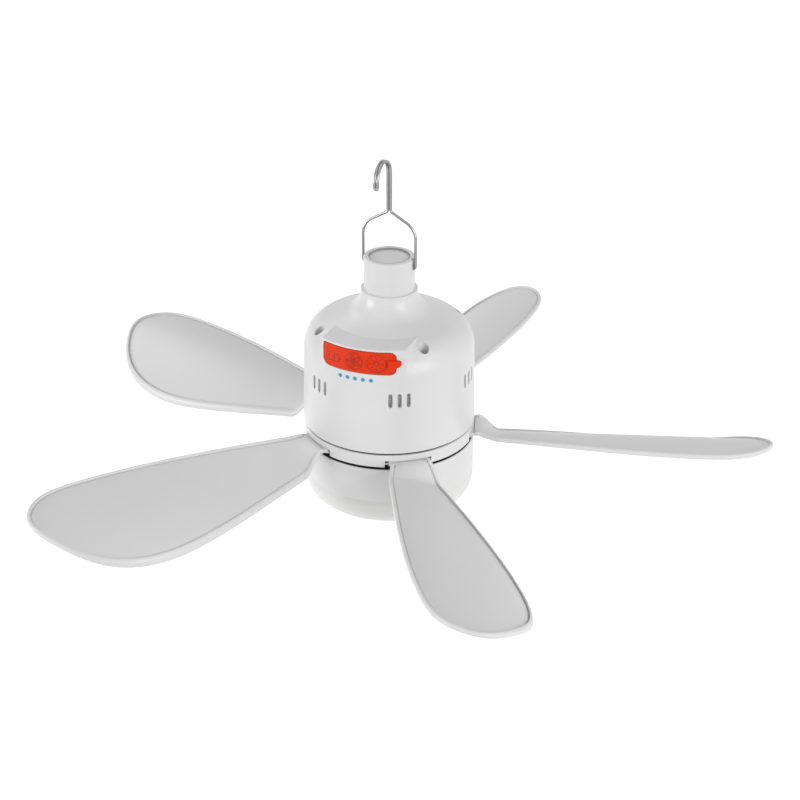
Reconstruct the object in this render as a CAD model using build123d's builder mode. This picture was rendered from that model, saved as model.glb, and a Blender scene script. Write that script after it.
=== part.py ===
"""Portable camping fan that hangs by a wire hook: five folding blades turn round the
body, between a battery housing above and a lamp with a diffuser dome below.

Every piece is drawn about the fan's own axis, in millimetres, with z = 0 at the lower
edge of the battery housing, the cover strip facing -Y and the hook's pivots along X.
save() then moves it so that the origin is the point inside the hook where the fan hangs.
"""

from build123d import *
from math import cos, radians, sin, sqrt, tan
import os

os.makedirs("parts", exist_ok=True)

# Battery housing
BODY_R = 45.0
DRAFT = 1.23
WALL = 2.2
SLOPE = 21.0
SLOPE_R = 24.0
SLOPE_Z = 59.75
SHOULDER_FILLET = 15.9
FLARE_FILLET = 12.5
COLLAR_R = 14.6
COLLAR_TOP = 72.5

# Neck and its pivots
NECK_R = 13.1
NECK_BORE = 10.6
NECK_TOP = 89.95
NECK_SEAT = 60.3
NECK_FLANGE_R = 15.8
NECK_FLANGE_T = 2.4
NECK_TOP_EDGE = 0.8
NECK_MOUTH_EDGE = 0.3
CAP_DROP = 1.0
CAP_THICK = 2.4
CAP_RIM = 1.5
CAP_RECESS = 1.2
PIVOT_Z = 84.8
PIVOT_HOLE_R = 0.80
GROOVE_DEPTH = 1.2
GROOVE_W = 2.0

# Wire hook
WIRE_R = 0.75
LEG_X = 14.3
BAIL_CORNER_Z = 105.8
SHANK_FOOT_Z = 113.6
SHANK_TOP_Z = 134.0
STRAND_X = 0.80
HOOK_BEND = 8.6
TIP_DROP = 2.2
HANG_Z = SHANK_TOP_Z + HOOK_BEND - WIRE_R

# Screw wells and vents
WELL_R = 2.9
WELL_PLACE_R = 37.2
WELL_ANGLES = (41, 139, 221, 319)
COLUMN_R = 4.8
COLUMN_FOOT = 12.0
COLUMN_FLOOR = 2.4
COLUMN_RIB_OUT = 4.0
COLUMN_RIB_L = 6.0
COLUMN_RIB_W = 2.0
SCREW_R = 1.25
SCREW_HOLE_R = 1.6
SCREW_TIP = 1.0
SCREW_HEAD_R = 2.7
SCREW_HEAD_T = 2.0
CROSS_L = 3.0
CROSS_W = 0.7
CROSS_DEPTH = 1.2
VENT_GROUPS = 6
VENT_TURN = -1.3
VENT_LOW = 25.7
VENT_HIGH = 33.4
VENT_W = 2.1
VENT_PITCH = 4.7

# Upright panel in front of the shoulder, which carries the cover strip
PANEL_LEFT = -21.2
PANEL_RIGHT = 24.0
PANEL_BACK = -15.0
PANEL_FOOT = 36.0
PANEL_TOP = 57.3
PANEL_CORNER = 2.0
PANEL_EDGE = 1.0
PANEL_WALL = 4.1
PANEL_SPARE = 3.1
DRUM_LOW = 30.0
DRUM_HIGH = 62.0

# Cover strip, keys, charging socket and level lights
PRISM_FROM = 30.0
PRISM_LENGTH = 25.0
COVER_HALF_W = 19.4
COVER_LOW = 44.2
COVER_HIGH = 55.8
COVER_MARGIN = 0.42
COVER_THICK = 1.6
RECESS_DEPTH = 1.9
HINGE_TURN = -112.5
HINGE_GAP = 0.15
TAB_FROM = 16.6
TAB_TO = 22.1
TAB_LOW = 48.5
TAB_HIGH = 52.1
TAB_LIFT = 0.3
TAB_THICK = 1.2
TAB_ROOT_TO = 18.9
PEG_X = -18.4
PEG_Z = 46.4
PEG_R = 1.0
PEG_HEAD_R = 1.7
PEG_HEAD_BACK = 33.3
PEG_HEAD_FRONT = 34.3
PEG_FRONT = 39.3
KEY_Z = 50.0
FAN_KEY_X = -1.0
LIGHT_KEY_X = 10.6
KEY_R = 3.3
KEY_GAP = 0.3
KEY_SINK = 0.1
KEY_LUG = 0.5
KEY_LUG_W = 4.0
KEY_LUG_H = 2.6
KEY_LUG_DROP = 3.1
GUIDE_R = 5.2
GUIDE_BACK = 37.0
USB_X = -11.6
USB_Z = 49.3
USB_W = 8.9
USB_H = 3.2
USB_LENGTH = 6.2
USB_CORNER = 1.3
USB_GAP = 0.2
USB_FRAME = 1.8
USB_SHELL = 0.3
USB_BACK = 1.2
TONGUE_GAP = 1.1
TONGUE_T = 0.7
TONGUE_SHORT = 0.8
LEVEL_Z = 40.5
LEVEL_R = 1.0
LEVEL_STEP = 5.45
LEVEL_MIDDLE = -0.8
LEVEL_COUNT = 5
LEVEL_LENGTH = 5.3
LEVEL_PROUD = 0.15
BOARD_FRONT = 32.5
BOARD_THICK = 1.6
BOARD_W = 38.0
BOARD_LOW = 34.0
BOARD_HIGH = 51.2
SWITCH_W = 6.0
SWITCH_H = 2.6
SWITCH_BUTTON_R = 1.5
SWITCH_BUTTON_H = 3.0
SWITCH_DROP = 2.0
CONNECTOR_PLACES = [(-14.0, 38.0), (14.0, 38.0)]
CONNECTOR_W = 4.0
CONNECTOR_H = 3.0
CONNECTOR_T = 1.2
CHIP_PLACES = [(-6.0, 43.0), (8.0, 42.0)]
CHIP_W = 7.0
CHIP_T = 1.6

# Base plate, batteries and motor
BASE_LOW = 0.3
BASE_HIGH = 2.8
BASE_R = 42.4
CUP_R = 27.0
CUP_WALL = 2.0
CUP_TOP = 20.0
CUP_ROOF = 22.5
CUP_BOSS_L = 3.8
BASE_BOSS_R = 3.8
SHAFT_R = 4.0
SHAFT_BORE = 2.5
SHAFT_FOOT = -16.8
SHAFT_HEAD_R = 7.0
SHAFT_HEAD_T = 1.5
SHAFT_HEAD_GAP = 0.6
BEARING_R = 8.0
BEARING_H = 4.0
BEARING_IN = 0.2
BEARING_STOP_R = 6.4
RUNNING = 0.05
STATOR_R = 21.3
STATOR_LOW = 4.0
STATOR_HIGH = 14.0
TOOTH_COUNT = 9
TOOTH_W = 4.0
SLOT_FROM = 10.0
SLOT_TO = 18.5
TOOTH_ROOT = 2.0
SLOT_MOUTH_L = 8.0
SLOT_MOUTH_W = 2.2
COIL_END = 1.5
COIL_SHIFT = 0.4
COIL_SHORT = 1.2
COIL_SPREAD = 1.4
COIL_CORNER = 1.0
CAN_R = 25.0
CAN_WALL = 1.4
CAN_TOP = 17.0
CAN_SCREW_R = 17.0
CAN_GAP = 0.1
MAGNET_T = 1.6
MAGNET_OVER = 1.0
CELL_R = 9.0
CELL_HALF_L = 32.5
CELL_Y = 9.35
CELL_Z = 33.2
CELL_NUB_L = 1.2
CELL_NUB_R = 2.8
CONTACT_T = 0.6
CONTACT_W = 10.0
CONTACT_H = 9.0
CONTACT_CORNER = 1.0
TRAY_HALF_X = 36.2
TRAY_HALF_Y = 19.2
TRAY_CORNER = 3.0
TRAY_FLOOR_H = 9.5
TRAY_END_T = 1.6
TRAY_END_IN = 1.5
TRAY_END_H = 18.0
TRAY_END_GAP = 0.6
CELL_GAP = 0.2

# Rotor ring
RING_R = 44.6
RING_TOP = -1.4
BAND_LOW = -4.5
RING_LOW = -8.1
RING_INNER = 41.6
BAND_INNER = 30.0
SLOT_CW = -13.0
SLOT_CCW = 11.4
SLOT_BACK = 37.4
CHEEK = 3.0
WEB_TOP = -1.6
WEB_LOW = -4.0
HUB_R = 10.6
HUB_LOW = -8.2
HUB_TOP = 3.4
RING_EDGE = 0.4
SLOT_DEPTH = 14.0
RIB_FROM = 10.3
RIB_TO = 36.3
RIB_W = 1.8
RIB_UP = 1.0
RIB_TURN = 36
ROTOR_SCREW_R = 1.2
ROTOR_HEAD_R = 2.2
ROTOR_HEAD_T = 1.4

# Blade hinges and blades, the blade lying along +X with +Y its trailing side
FOLD_R = 40.8
FOLD_Z = -6.9
BARREL_R = 1.7
PIN_R = 0.80
PIN_GRIP = 1.3
BLADE_ANGLES = (18, 90, 162, 234, 306)
CAMBER_R = 78.0
CREST_Y = -25.0
CREST_Z = -5.2
ROOT_X = 47.5
ROOT_LEAD = -10.9
ROOT_TRAIL = 9.9
ROOT_Z = -4.7
KINK_X = 57.5
KINK_LEAD = -14.8
KINK_TRAIL = 12.9
TIP_X = 200.8
PANEL = 1.6
LIP_W = 1.7
LIP_UP = 1.1
CAMBER_SPAN = (-30.0, 32.0)
TIP_SPARE = 5.0
BLADE_EDGE = [
    (KINK_X, KINK_LEAD), (113.6, -23.9), (165.0, -27.6), (191.0, -21.6), (TIP_X, -6.9),
    (194.6, 8.4), (178.0, 22.4), (150.0, 28.8), (115.7, 26.0), (KINK_X, KINK_TRAIL),
]

# Lamp
LAMP_R = 44.7
LAMP_TOP = -9.6
LAMP_SPLIT = -28.7
LAMP_EDGE = 1.0
LAMP_WALL = 2.0
DOME_START = -31.0
DOME_SHOULDER = (38.6, -43.1)
DOME_LOW = -50.0
DOME_WALL = 1.6
SPIGOT_TOP = -25.6
SPIGOT_GAP = 0.1
LED_BOARD_R = 40.0
LED_BOARD_TOP = -23.0
LED_BOARD_LOW = -24.6
LED_HOLE_R = 3.0
LED_RINGS = [(27.0, 16), (14.0, 8)]
LED_W = 2.8
LED_T = 0.8
LAMP_BOSS_R = 34.0
LAMP_BOSS_START = 60
LAMP_BOSS_COUNT = 3
LAMP_PILLAR_R = 3.2
LAMP_SCREW_R = 1.2
LAMP_SCREW_L = 7.0
LAMP_HEAD_R = 2.4
LAMP_HEAD_T = 1.6
LAMP_HUB_R = 6.0
LAMP_HUB_UP = 1.1
LAMP_FOOT_R = 9.0
NUT_ACROSS_FLATS = 13.0
NUT_TOP = -12.8
NUT_LOW = -16.4

# Length of cuts that run out of a piece
THROUGH = 60.0

HANG = Location((0, HOOK_BEND, -HANG_Z))


def save(piece, name):
    """Labels a piece, moves it into the hanging point's frame and writes its STEP file."""
    piece.part.label = name
    placed = piece.part.moved(HANG)
    placed.label = name
    export_step(placed, f"parts/{name}.step")


def roof_z(radius, inset=0.0):
    """Height of the housing's sloping roof at a radius, held in by an even inset."""
    slope = radians(SLOPE)
    return SLOPE_Z + (SLOPE_R - radius) * tan(slope) - inset / cos(slope)


def wall_r(z, inset=0.0):
    """Radius of the housing's drafted wall at a height, held in by an even inset."""
    draft = radians(DRAFT)
    return BODY_R - z * tan(draft) - inset / cos(draft)


def shoulder_corner(inset):
    """Where the wall and the roof would meet without their fillet, as radius and height."""
    foot = wall_r(0, inset)
    z = roof_z(foot, inset) / (1 - tan(radians(DRAFT)) * tan(radians(SLOPE)))
    return (wall_r(z, inset), z)


def drum(inset):
    """The housing's wall carried straight up past its shoulder, held in by an inset."""
    with BuildPart() as form:
        with Locations((0, 0, (DRUM_LOW + DRUM_HIGH) / 2)):
            Cone(wall_r(DRUM_LOW, inset), wall_r(DRUM_HIGH, inset), DRUM_HIGH - DRUM_LOW)
    return form.part


def panel(inset):
    """The upright panel as a full solid, held in by an inset on its front, sides and top."""
    with BuildPart() as form:
        with Locations(((PANEL_LEFT + PANEL_RIGHT) / 2, PANEL_BACK, PANEL_FOOT)):
            Box(
                PANEL_RIGHT - PANEL_LEFT - 2 * inset, BODY_R + PANEL_BACK,
                PANEL_TOP - inset - PANEL_FOOT, align=(Align.CENTER, Align.MAX, Align.MIN),
            )
        add(drum(inset), mode=Mode.INTERSECT)
        fillet(form.edges().filter_by(Axis.Z, tolerance=5).sort_by(Axis.Y)[:2], PANEL_CORNER)
        fillet(form.faces().sort_by(Axis.Z)[-1].edges().sort_by(Axis.Y)[:-1], PANEL_EDGE)
    return form.part


def ring(outer, inner, low, high):
    """A plain ring or tube about the fan's axis."""
    with BuildPart() as tube:
        with BuildSketch(Plane.XY.offset(low)):
            Circle(outer)
            if inner:
                Circle(inner, mode=Mode.SUBTRACT)
        extrude(amount=high - low)
    return tube.part


def cover_prism(margin):
    """A prism along Y with the cover strip's front outline, grown by a margin."""
    right = COVER_HALF_W + margin
    low = COVER_LOW - margin
    high = COVER_HIGH + margin
    with BuildPart() as prism:
        with BuildSketch(Plane.XZ.offset(PRISM_FROM)):
            with BuildLine():
                FilletPolyline(
                    (-right, low), (right, low), (right, high), (-right, high),
                    radius=[3.2 + margin, 2.9 + margin, 2.9 + margin, 1.3 + margin],
                    close=True,
                )
            make_face()
        extrude(amount=PRISM_LENGTH)
    return prism.part


def cover_band(shift, keep):
    """The cover strip on one side of its bend, an upright plane through the fan's axis."""
    turn = radians(HINGE_TURN)
    along = Vector(-sin(turn), cos(turn), 0)
    with BuildPart() as band:
        add(cover_prism(0))
        add(drum(0), mode=Mode.INTERSECT)
        add(drum(COVER_THICK), mode=Mode.SUBTRACT)
        split(bisect_by=Plane(origin=along * shift, z_dir=along), keep=keep)
    return band.part


def wall_pad():
    """The thicker housing wall behind the cover strip."""
    with BuildPart() as pad:
        with Locations((0, -BODY_R, (COVER_LOW + COVER_HIGH) / 2)):
            Box(
                2 * (COVER_HALF_W + PANEL_SPARE), BODY_R,
                COVER_HIGH - COVER_LOW + 2 * PANEL_SPARE,
            )
        add(drum(PANEL_WALL), mode=Mode.SUBTRACT)
    return pad.part


def cover_recess():
    """The pocket in the housing that takes the cover strip."""
    with BuildPart() as pocket:
        add(cover_prism(COVER_MARGIN))
        add(drum(RECESS_DEPTH), mode=Mode.SUBTRACT)
    return pocket.part


def vent_slots():
    """All vent slots, as three upright rounded bars through the wall in each group."""
    step = VENT_PITCH / BODY_R / radians(1)
    with BuildPart() as slots:
        for group in range(VENT_GROUPS):
            for place in (-1, 0, 1):
                turn = radians(group * 360 / VENT_GROUPS + VENT_TURN + place * step)
                side = Vector(cos(turn), sin(turn), 0)
                middle = side * (BODY_R - 2 * WALL) + Vector(0, 0, (VENT_LOW + VENT_HIGH) / 2)
                with BuildSketch(Plane(origin=middle, x_dir=(0, 0, 1), z_dir=side)):
                    SlotOverall(VENT_HIGH - VENT_LOW, VENT_W)
                extrude(amount=3 * WALL)
    return slots.part


def level_rods(radius, inner, outer):
    """Radial rods at the level lights' places."""
    with BuildPart() as rods:
        for index in range(LEVEL_COUNT):
            turn = radians(-90 + LEVEL_MIDDLE + (index - (LEVEL_COUNT - 1) / 2) * LEVEL_STEP)
            side = Vector(cos(turn), sin(turn), 0)
            with BuildSketch(Plane(origin=side * inner + Vector(0, 0, LEVEL_Z), z_dir=side)):
                Circle(radius)
            extrude(amount=outer - inner)
    return rods.part


# ---- Hook and neck

with BuildPart() as hook:
    arc_top = (STRAND_X, -HOOK_BEND, SHANK_TOP_Z + HOOK_BEND)
    arc_end = (STRAND_X, -2 * HOOK_BEND, SHANK_TOP_Z)
    tip = (STRAND_X, -2 * HOOK_BEND, SHANK_TOP_Z - TIP_DROP)
    with BuildLine() as strand:
        FilletPolyline(
            (NECK_BORE, 0, PIVOT_Z), (LEG_X, 0, PIVOT_Z), (LEG_X, 0, BAIL_CORNER_Z),
            (STRAND_X, 0, SHANK_FOOT_Z), (STRAND_X, 0, SHANK_TOP_Z),
            radius=[1.3, 10.0, 1.6],
        )
        ThreePointArc((STRAND_X, 0, SHANK_TOP_Z), arc_top, arc_end)
        Line(arc_end, tip)
    with BuildSketch(Plane(origin=(NECK_BORE, 0, PIVOT_Z), z_dir=(1, 0, 0))):
        Circle(WIRE_R)
    sweep(path=strand.line)
    mirror(about=Plane.YZ)
    with BuildSketch(Plane(origin=tip, x_dir=(1, 0, 0), z_dir=(0, 0, 1))):
        Circle(WIRE_R)
    revolve(axis=Axis((0, tip[1], tip[2]), (0, 1, 0)), revolution_arc=180)
save(hook, "hook")

with BuildPart() as neck_stem:
    with BuildSketch(Plane.XZ):
        with BuildLine():
            FilletPolyline(
                (NECK_BORE, NECK_SEAT - NECK_FLANGE_T),
                (NECK_FLANGE_R, NECK_SEAT - NECK_FLANGE_T),
                (NECK_FLANGE_R, NECK_SEAT), (NECK_R, NECK_SEAT), (NECK_R, NECK_TOP),
                (NECK_BORE, NECK_TOP),
                radius=[0, 0, 0, 0, NECK_TOP_EDGE, NECK_MOUTH_EDGE], close=True,
            )
        make_face()
    revolve(axis=Axis.Z)
    with BuildSketch(Plane.YZ.offset(NECK_R - GROOVE_DEPTH)):
        with Locations((0, PIVOT_Z)):
            Circle(GROOVE_W / 2)
        with Locations((0, NECK_TOP)):
            Rectangle(GROOVE_W, 2 * (NECK_TOP - PIVOT_Z))
    groove = extrude(amount=2 * GROOVE_DEPTH, mode=Mode.SUBTRACT)
    mirror(objects=groove, about=Plane.YZ, mode=Mode.SUBTRACT)
    with Locations(Plane(origin=(0, 0, PIVOT_Z), z_dir=(1, 0, 0))):
        Cylinder(PIVOT_HOLE_R, 2 * NECK_R + 2 * GROOVE_DEPTH, mode=Mode.SUBTRACT)
save(neck_stem, "neck_stem")

with BuildPart() as neck_cap:
    with BuildSketch(Plane.XY.offset(NECK_TOP - CAP_DROP - CAP_THICK)):
        Circle(NECK_BORE)
    extrude(amount=CAP_THICK)
    with BuildSketch(Plane.XY.offset(NECK_TOP - CAP_DROP - CAP_THICK)):
        Circle(NECK_BORE - CAP_RIM)
    extrude(amount=CAP_RECESS, mode=Mode.SUBTRACT)
save(neck_cap, "neck_cap")

# ---- Battery housing: a moulded shell with screw columns, key guides and a socket frame

with BuildPart() as housing_cavity:
    seat_r = SLOPE_R - (NECK_SEAT - roof_z(SLOPE_R, WALL)) / tan(radians(SLOPE))
    with BuildSketch(Plane.XZ):
        with BuildLine():
            FilletPolyline(
                (0, -WALL), (wall_r(-WALL, WALL), -WALL), shoulder_corner(WALL),
                (seat_r, NECK_SEAT), (0, NECK_SEAT),
                radius=[0, 0, SHOULDER_FILLET - WALL, 0, 0], close=True,
            )
        make_face()
    revolve(axis=Axis.Z)
    add(panel(PANEL_WALL))
    for angle in WELL_ANGLES:
        with BuildSketch(Plane.XY.offset(COLUMN_FOOT)):
            with PolarLocations(WELL_PLACE_R, 1, start_angle=angle):
                Circle(COLUMN_R)
            with PolarLocations(WELL_PLACE_R + COLUMN_RIB_OUT, 1, start_angle=angle):
                Rectangle(COLUMN_RIB_L, COLUMN_RIB_W)
        extrude(amount=THROUGH, mode=Mode.SUBTRACT)
    add(wall_pad(), mode=Mode.SUBTRACT)
    with BuildSketch(Plane.XZ.offset(GUIDE_BACK)):
        with Locations((FAN_KEY_X, KEY_Z), (LIGHT_KEY_X, KEY_Z)):
            Circle(GUIDE_R)
        with Locations((USB_X, USB_Z)):
            Rectangle(USB_W + 2 * USB_FRAME, USB_H + 2 * USB_FRAME)
    extrude(amount=BODY_R - GUIDE_BACK, mode=Mode.SUBTRACT)

with BuildPart() as upper_housing:
    with BuildSketch(Plane.XZ):
        with BuildLine():
            FilletPolyline(
                (0, 0), (BODY_R, 0), shoulder_corner(0), (COLLAR_R, roof_z(COLLAR_R)),
                (COLLAR_R, COLLAR_TOP), (0, COLLAR_TOP),
                radius=[0, 0, SHOULDER_FILLET, FLARE_FILLET, 0, 0], close=True,
            )
        make_face()
    revolve(axis=Axis.Z)
    add(panel(0))
    add(housing_cavity.part, mode=Mode.SUBTRACT)
    with BuildSketch(Plane.XY.offset(NECK_SEAT - NECK_FLANGE_T)):
        Circle(NECK_R + RUNNING)
    extrude(amount=THROUGH, mode=Mode.SUBTRACT)
    for angle in WELL_ANGLES:
        with BuildSketch(Plane.XY.offset(COLUMN_FOOT + COLUMN_FLOOR)):
            with PolarLocations(WELL_PLACE_R, 1, start_angle=angle):
                Circle(WELL_R)
        extrude(amount=THROUGH, mode=Mode.SUBTRACT)
        with BuildSketch(Plane.XY.offset(COLUMN_FOOT)):
            with PolarLocations(WELL_PLACE_R, 1, start_angle=angle):
                Circle(SCREW_HOLE_R)
        extrude(amount=COLUMN_FLOOR, mode=Mode.SUBTRACT)
    add(cover_recess(), mode=Mode.SUBTRACT)
    with BuildSketch(Plane.XZ.offset(BOARD_FRONT)):
        with Locations((FAN_KEY_X, KEY_Z), (LIGHT_KEY_X, KEY_Z)):
            Circle(KEY_R + KEY_GAP)
        with Locations((USB_X, USB_Z)):
            RectangleRounded(USB_W + 2 * USB_GAP, USB_H + 2 * USB_GAP, USB_CORNER + USB_GAP)
        with Locations((PEG_X, PEG_Z)):
            Circle(PEG_R)
    extrude(amount=THROUGH, mode=Mode.SUBTRACT)
    add(vent_slots(), mode=Mode.SUBTRACT)
    add(level_rods(LEVEL_R, BODY_R - 2 * LEVEL_LENGTH, BODY_R + WALL), mode=Mode.SUBTRACT)
save(upper_housing, "upper_housing")

# ---- Cover strip with its pull tab, and the keys, socket and lights behind it

with BuildPart() as pull_tab:
    with BuildSketch(Plane.XZ.offset(PRISM_FROM)):
        with BuildLine():
            FilletPolyline(
                (TAB_FROM, TAB_LOW), (TAB_TO, TAB_LOW), (TAB_TO, TAB_HIGH),
                (TAB_FROM, TAB_HIGH), radius=[0.5, 1.4, 1.4, 0.5], close=True,
            )
        make_face()
    extrude(amount=PRISM_LENGTH)
    add(drum(-TAB_LIFT - TAB_THICK), mode=Mode.INTERSECT)
    add(drum(-TAB_LIFT), mode=Mode.SUBTRACT)

with BuildPart() as tab_root:
    with BuildSketch(Plane.XZ.offset(PRISM_FROM)):
        with Locations(((TAB_FROM + TAB_ROOT_TO) / 2, (TAB_LOW + TAB_HIGH) / 2)):
            Rectangle(TAB_ROOT_TO - TAB_FROM, TAB_HIGH - TAB_LOW)
    extrude(amount=PRISM_LENGTH)
    add(drum(-TAB_LIFT - TAB_THICK), mode=Mode.INTERSECT)
    add(drum(COVER_THICK), mode=Mode.SUBTRACT)

with BuildPart() as port_cover:
    add(cover_band(0, Keep.TOP))
    add(tab_root.part)
    add(pull_tab.part)
save(port_cover, "port_cover")

with BuildPart() as cover_anchor:
    add(cover_band(-HINGE_GAP, Keep.BOTTOM))
    with BuildSketch(Plane.XZ.offset(PEG_HEAD_FRONT)):
        with Locations((PEG_X, PEG_Z)):
            Circle(PEG_R)
    extrude(amount=PEG_FRONT - PEG_HEAD_FRONT)
    with BuildSketch(Plane.XZ.offset(PEG_HEAD_BACK)):
        with Locations((PEG_X, PEG_Z)):
            Circle(PEG_HEAD_R)
    extrude(amount=PEG_HEAD_FRONT - PEG_HEAD_BACK)
save(cover_anchor, "cover_anchor")


def key(x):
    """A push key: a cap level with the recess floor and a lug that catches behind its guide."""
    back = GUIDE_BACK - RUNNING - KEY_LUG
    with BuildPart() as body:
        with BuildSketch(Plane.XZ.offset(back)):
            with Locations((x, KEY_Z)):
                Circle(KEY_R)
        extrude(amount=BODY_R - back)
        add(drum(RECESS_DEPTH + KEY_SINK), mode=Mode.INTERSECT)
        with BuildSketch(Plane.XZ.offset(back)):
            with Locations((x, KEY_Z - KEY_LUG_DROP)):
                Rectangle(KEY_LUG_W, KEY_LUG_H)
        extrude(amount=KEY_LUG)
    return body


fan_button = key(FAN_KEY_X)
save(fan_button, "fan_button")
light_button = key(LIGHT_KEY_X)
save(light_button, "light_button")

with BuildPart() as usb_socket:
    with BuildSketch(Plane.XZ.offset(BOARD_FRONT)):
        with Locations((USB_X, USB_Z)):
            RectangleRounded(USB_W, USB_H, USB_CORNER)
    extrude(amount=USB_LENGTH)
    with BuildSketch(Plane.XZ.offset(BOARD_FRONT + USB_BACK)):
        with Locations((USB_X, USB_Z)):
            RectangleRounded(USB_W - 2 * USB_SHELL, USB_H - 2 * USB_SHELL, USB_CORNER - USB_SHELL)
    extrude(amount=USB_LENGTH, mode=Mode.SUBTRACT)
    with BuildSketch(Plane.XZ.offset(BOARD_FRONT)):
        with Locations((USB_X, USB_Z)):
            Rectangle(USB_W - 2 * TONGUE_GAP, TONGUE_T)
    extrude(amount=USB_LENGTH - TONGUE_SHORT)
save(usb_socket, "usb_socket")

with BuildPart() as level_lights:
    face_r = wall_r(LEVEL_Z) + LEVEL_PROUD
    add(level_rods(LEVEL_R, face_r - LEVEL_LENGTH, face_r))
save(level_lights, "level_lights")

with BuildPart() as control_board:
    with BuildSketch(Plane.XZ.offset(BOARD_FRONT - BOARD_THICK)):
        with Locations((0, (BOARD_LOW + BOARD_HIGH) / 2)):
            Rectangle(BOARD_W, BOARD_HIGH - BOARD_LOW)
    extrude(amount=BOARD_THICK)
    with BuildSketch(Plane.XZ.offset(BOARD_FRONT)):
        with Locations((FAN_KEY_X, KEY_Z - SWITCH_DROP), (LIGHT_KEY_X, KEY_Z - SWITCH_DROP)):
            Rectangle(SWITCH_W, SWITCH_W)
    extrude(amount=SWITCH_H)
    with BuildSketch(Plane.XZ.offset(BOARD_FRONT)):
        with Locations((FAN_KEY_X, KEY_Z - SWITCH_DROP), (LIGHT_KEY_X, KEY_Z - SWITCH_DROP)):
            Circle(SWITCH_BUTTON_R)
    extrude(amount=SWITCH_BUTTON_H)
    with BuildSketch(Plane.XZ.offset(BOARD_FRONT)):
        with Locations(*CONNECTOR_PLACES):
            Rectangle(CONNECTOR_W, CONNECTOR_H)
    extrude(amount=CONNECTOR_T)
    with BuildSketch(Plane.XZ.offset(BOARD_FRONT - BOARD_THICK - CHIP_T)):
        with Locations(*CHIP_PLACES):
            Rectangle(CHIP_W, CHIP_W)
    extrude(amount=CHIP_T)
save(control_board, "control_board")

# ---- Batteries in their tray

with BuildPart() as battery_tray:
    with BuildSketch(Plane.XY.offset(CUP_ROOF)):
        RectangleRounded(2 * TRAY_HALF_X, 2 * TRAY_HALF_Y, TRAY_CORNER)
    extrude(amount=TRAY_FLOOR_H)
    with BuildSketch(Plane.XY.offset(CUP_ROOF)):
        with Locations((TRAY_END_IN - TRAY_HALF_X, 0), (TRAY_HALF_X - TRAY_END_IN, 0)):
            Rectangle(TRAY_END_T, 2 * (TRAY_HALF_Y - TRAY_CORNER))
    extrude(amount=TRAY_END_H)
    with BuildSketch(Plane.YZ.offset(-CELL_HALF_L - TRAY_END_GAP)):
        with Locations((-CELL_Y, CELL_Z), (CELL_Y, CELL_Z)):
            Circle(CELL_R + CELL_GAP)
    extrude(amount=2 * (CELL_HALF_L + TRAY_END_GAP), mode=Mode.SUBTRACT)
    with BuildSketch(Plane.XY.offset(CUP_ROOF)):
        Circle(SHAFT_HEAD_R + SHAFT_HEAD_GAP)
    extrude(amount=SHAFT_HEAD_T + CELL_GAP, mode=Mode.SUBTRACT)
save(battery_tray, "battery_tray")

with BuildPart() as battery_cells:
    with BuildSketch(Plane.YZ.offset(-CELL_HALF_L)):
        with Locations((-CELL_Y, CELL_Z), (CELL_Y, CELL_Z)):
            Circle(CELL_R)
    extrude(amount=2 * CELL_HALF_L - CELL_NUB_L)
    with BuildSketch(Plane.YZ.offset(CELL_HALF_L - CELL_NUB_L)):
        with Locations((-CELL_Y, CELL_Z), (CELL_Y, CELL_Z)):
            Circle(CELL_NUB_R)
    extrude(amount=CELL_NUB_L)
save(battery_cells, "battery_cells")

with BuildPart() as battery_contacts:
    for side in (-1, 1):
        with BuildSketch(Plane.YZ.offset(side * (CELL_HALF_L + CONTACT_T / 2) - CONTACT_T / 2)):
            with Locations((-CELL_Y, CELL_Z), (CELL_Y, CELL_Z)):
                RectangleRounded(CONTACT_W, CONTACT_H, CONTACT_CORNER)
        extrude(amount=CONTACT_T)
save(battery_contacts, "battery_contacts")

# ---- Base plate with the motor's cup, and the motor

with BuildPart() as base_plate:
    with BuildSketch(Plane.XY.offset(BASE_LOW)):
        Circle(BASE_R)
        Circle(CUP_R, mode=Mode.SUBTRACT)
    extrude(amount=BASE_HIGH - BASE_LOW)
    add(ring(CUP_R + CUP_WALL, CUP_R, BASE_LOW, CUP_ROOF))
    add(ring(CUP_R + CUP_WALL, SHAFT_R, CUP_TOP, CUP_ROOF))
    add(ring(2 * SHAFT_R, SHAFT_R, CUP_TOP - CUP_BOSS_L, CUP_TOP))
    for angle in WELL_ANGLES:
        with BuildSketch(Plane.XY.offset(BASE_HIGH)):
            with PolarLocations(WELL_PLACE_R, 1, start_angle=angle):
                Circle(BASE_BOSS_R)
        extrude(amount=COLUMN_FOOT - BASE_HIGH)
        with BuildSketch(Plane.XY.offset(BASE_HIGH)):
            with PolarLocations(WELL_PLACE_R, 1, start_angle=angle):
                Circle(SCREW_R)
        extrude(amount=COLUMN_FOOT - BASE_HIGH, mode=Mode.SUBTRACT)
save(base_plate, "base_plate")

with BuildPart() as housing_screws:
    for angle in WELL_ANGLES:
        head_z = COLUMN_FOOT + COLUMN_FLOOR
        with BuildSketch(Plane.XY.offset(BASE_HIGH + SCREW_TIP)):
            with PolarLocations(WELL_PLACE_R, 1, start_angle=angle):
                Circle(SCREW_R)
        extrude(amount=head_z - BASE_HIGH - SCREW_TIP)
        with BuildSketch(Plane.XY.offset(head_z)):
            with PolarLocations(WELL_PLACE_R, 1, start_angle=angle):
                Circle(SCREW_HEAD_R)
        extrude(amount=SCREW_HEAD_T)
        with BuildSketch(Plane.XY.offset(head_z + SCREW_HEAD_T - CROSS_DEPTH)):
            with PolarLocations(WELL_PLACE_R, 1, start_angle=angle):
                Rectangle(CROSS_L, CROSS_W)
                Rectangle(CROSS_W, CROSS_L)
        extrude(amount=CROSS_DEPTH, mode=Mode.SUBTRACT)
save(housing_screws, "housing_screws")

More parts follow.
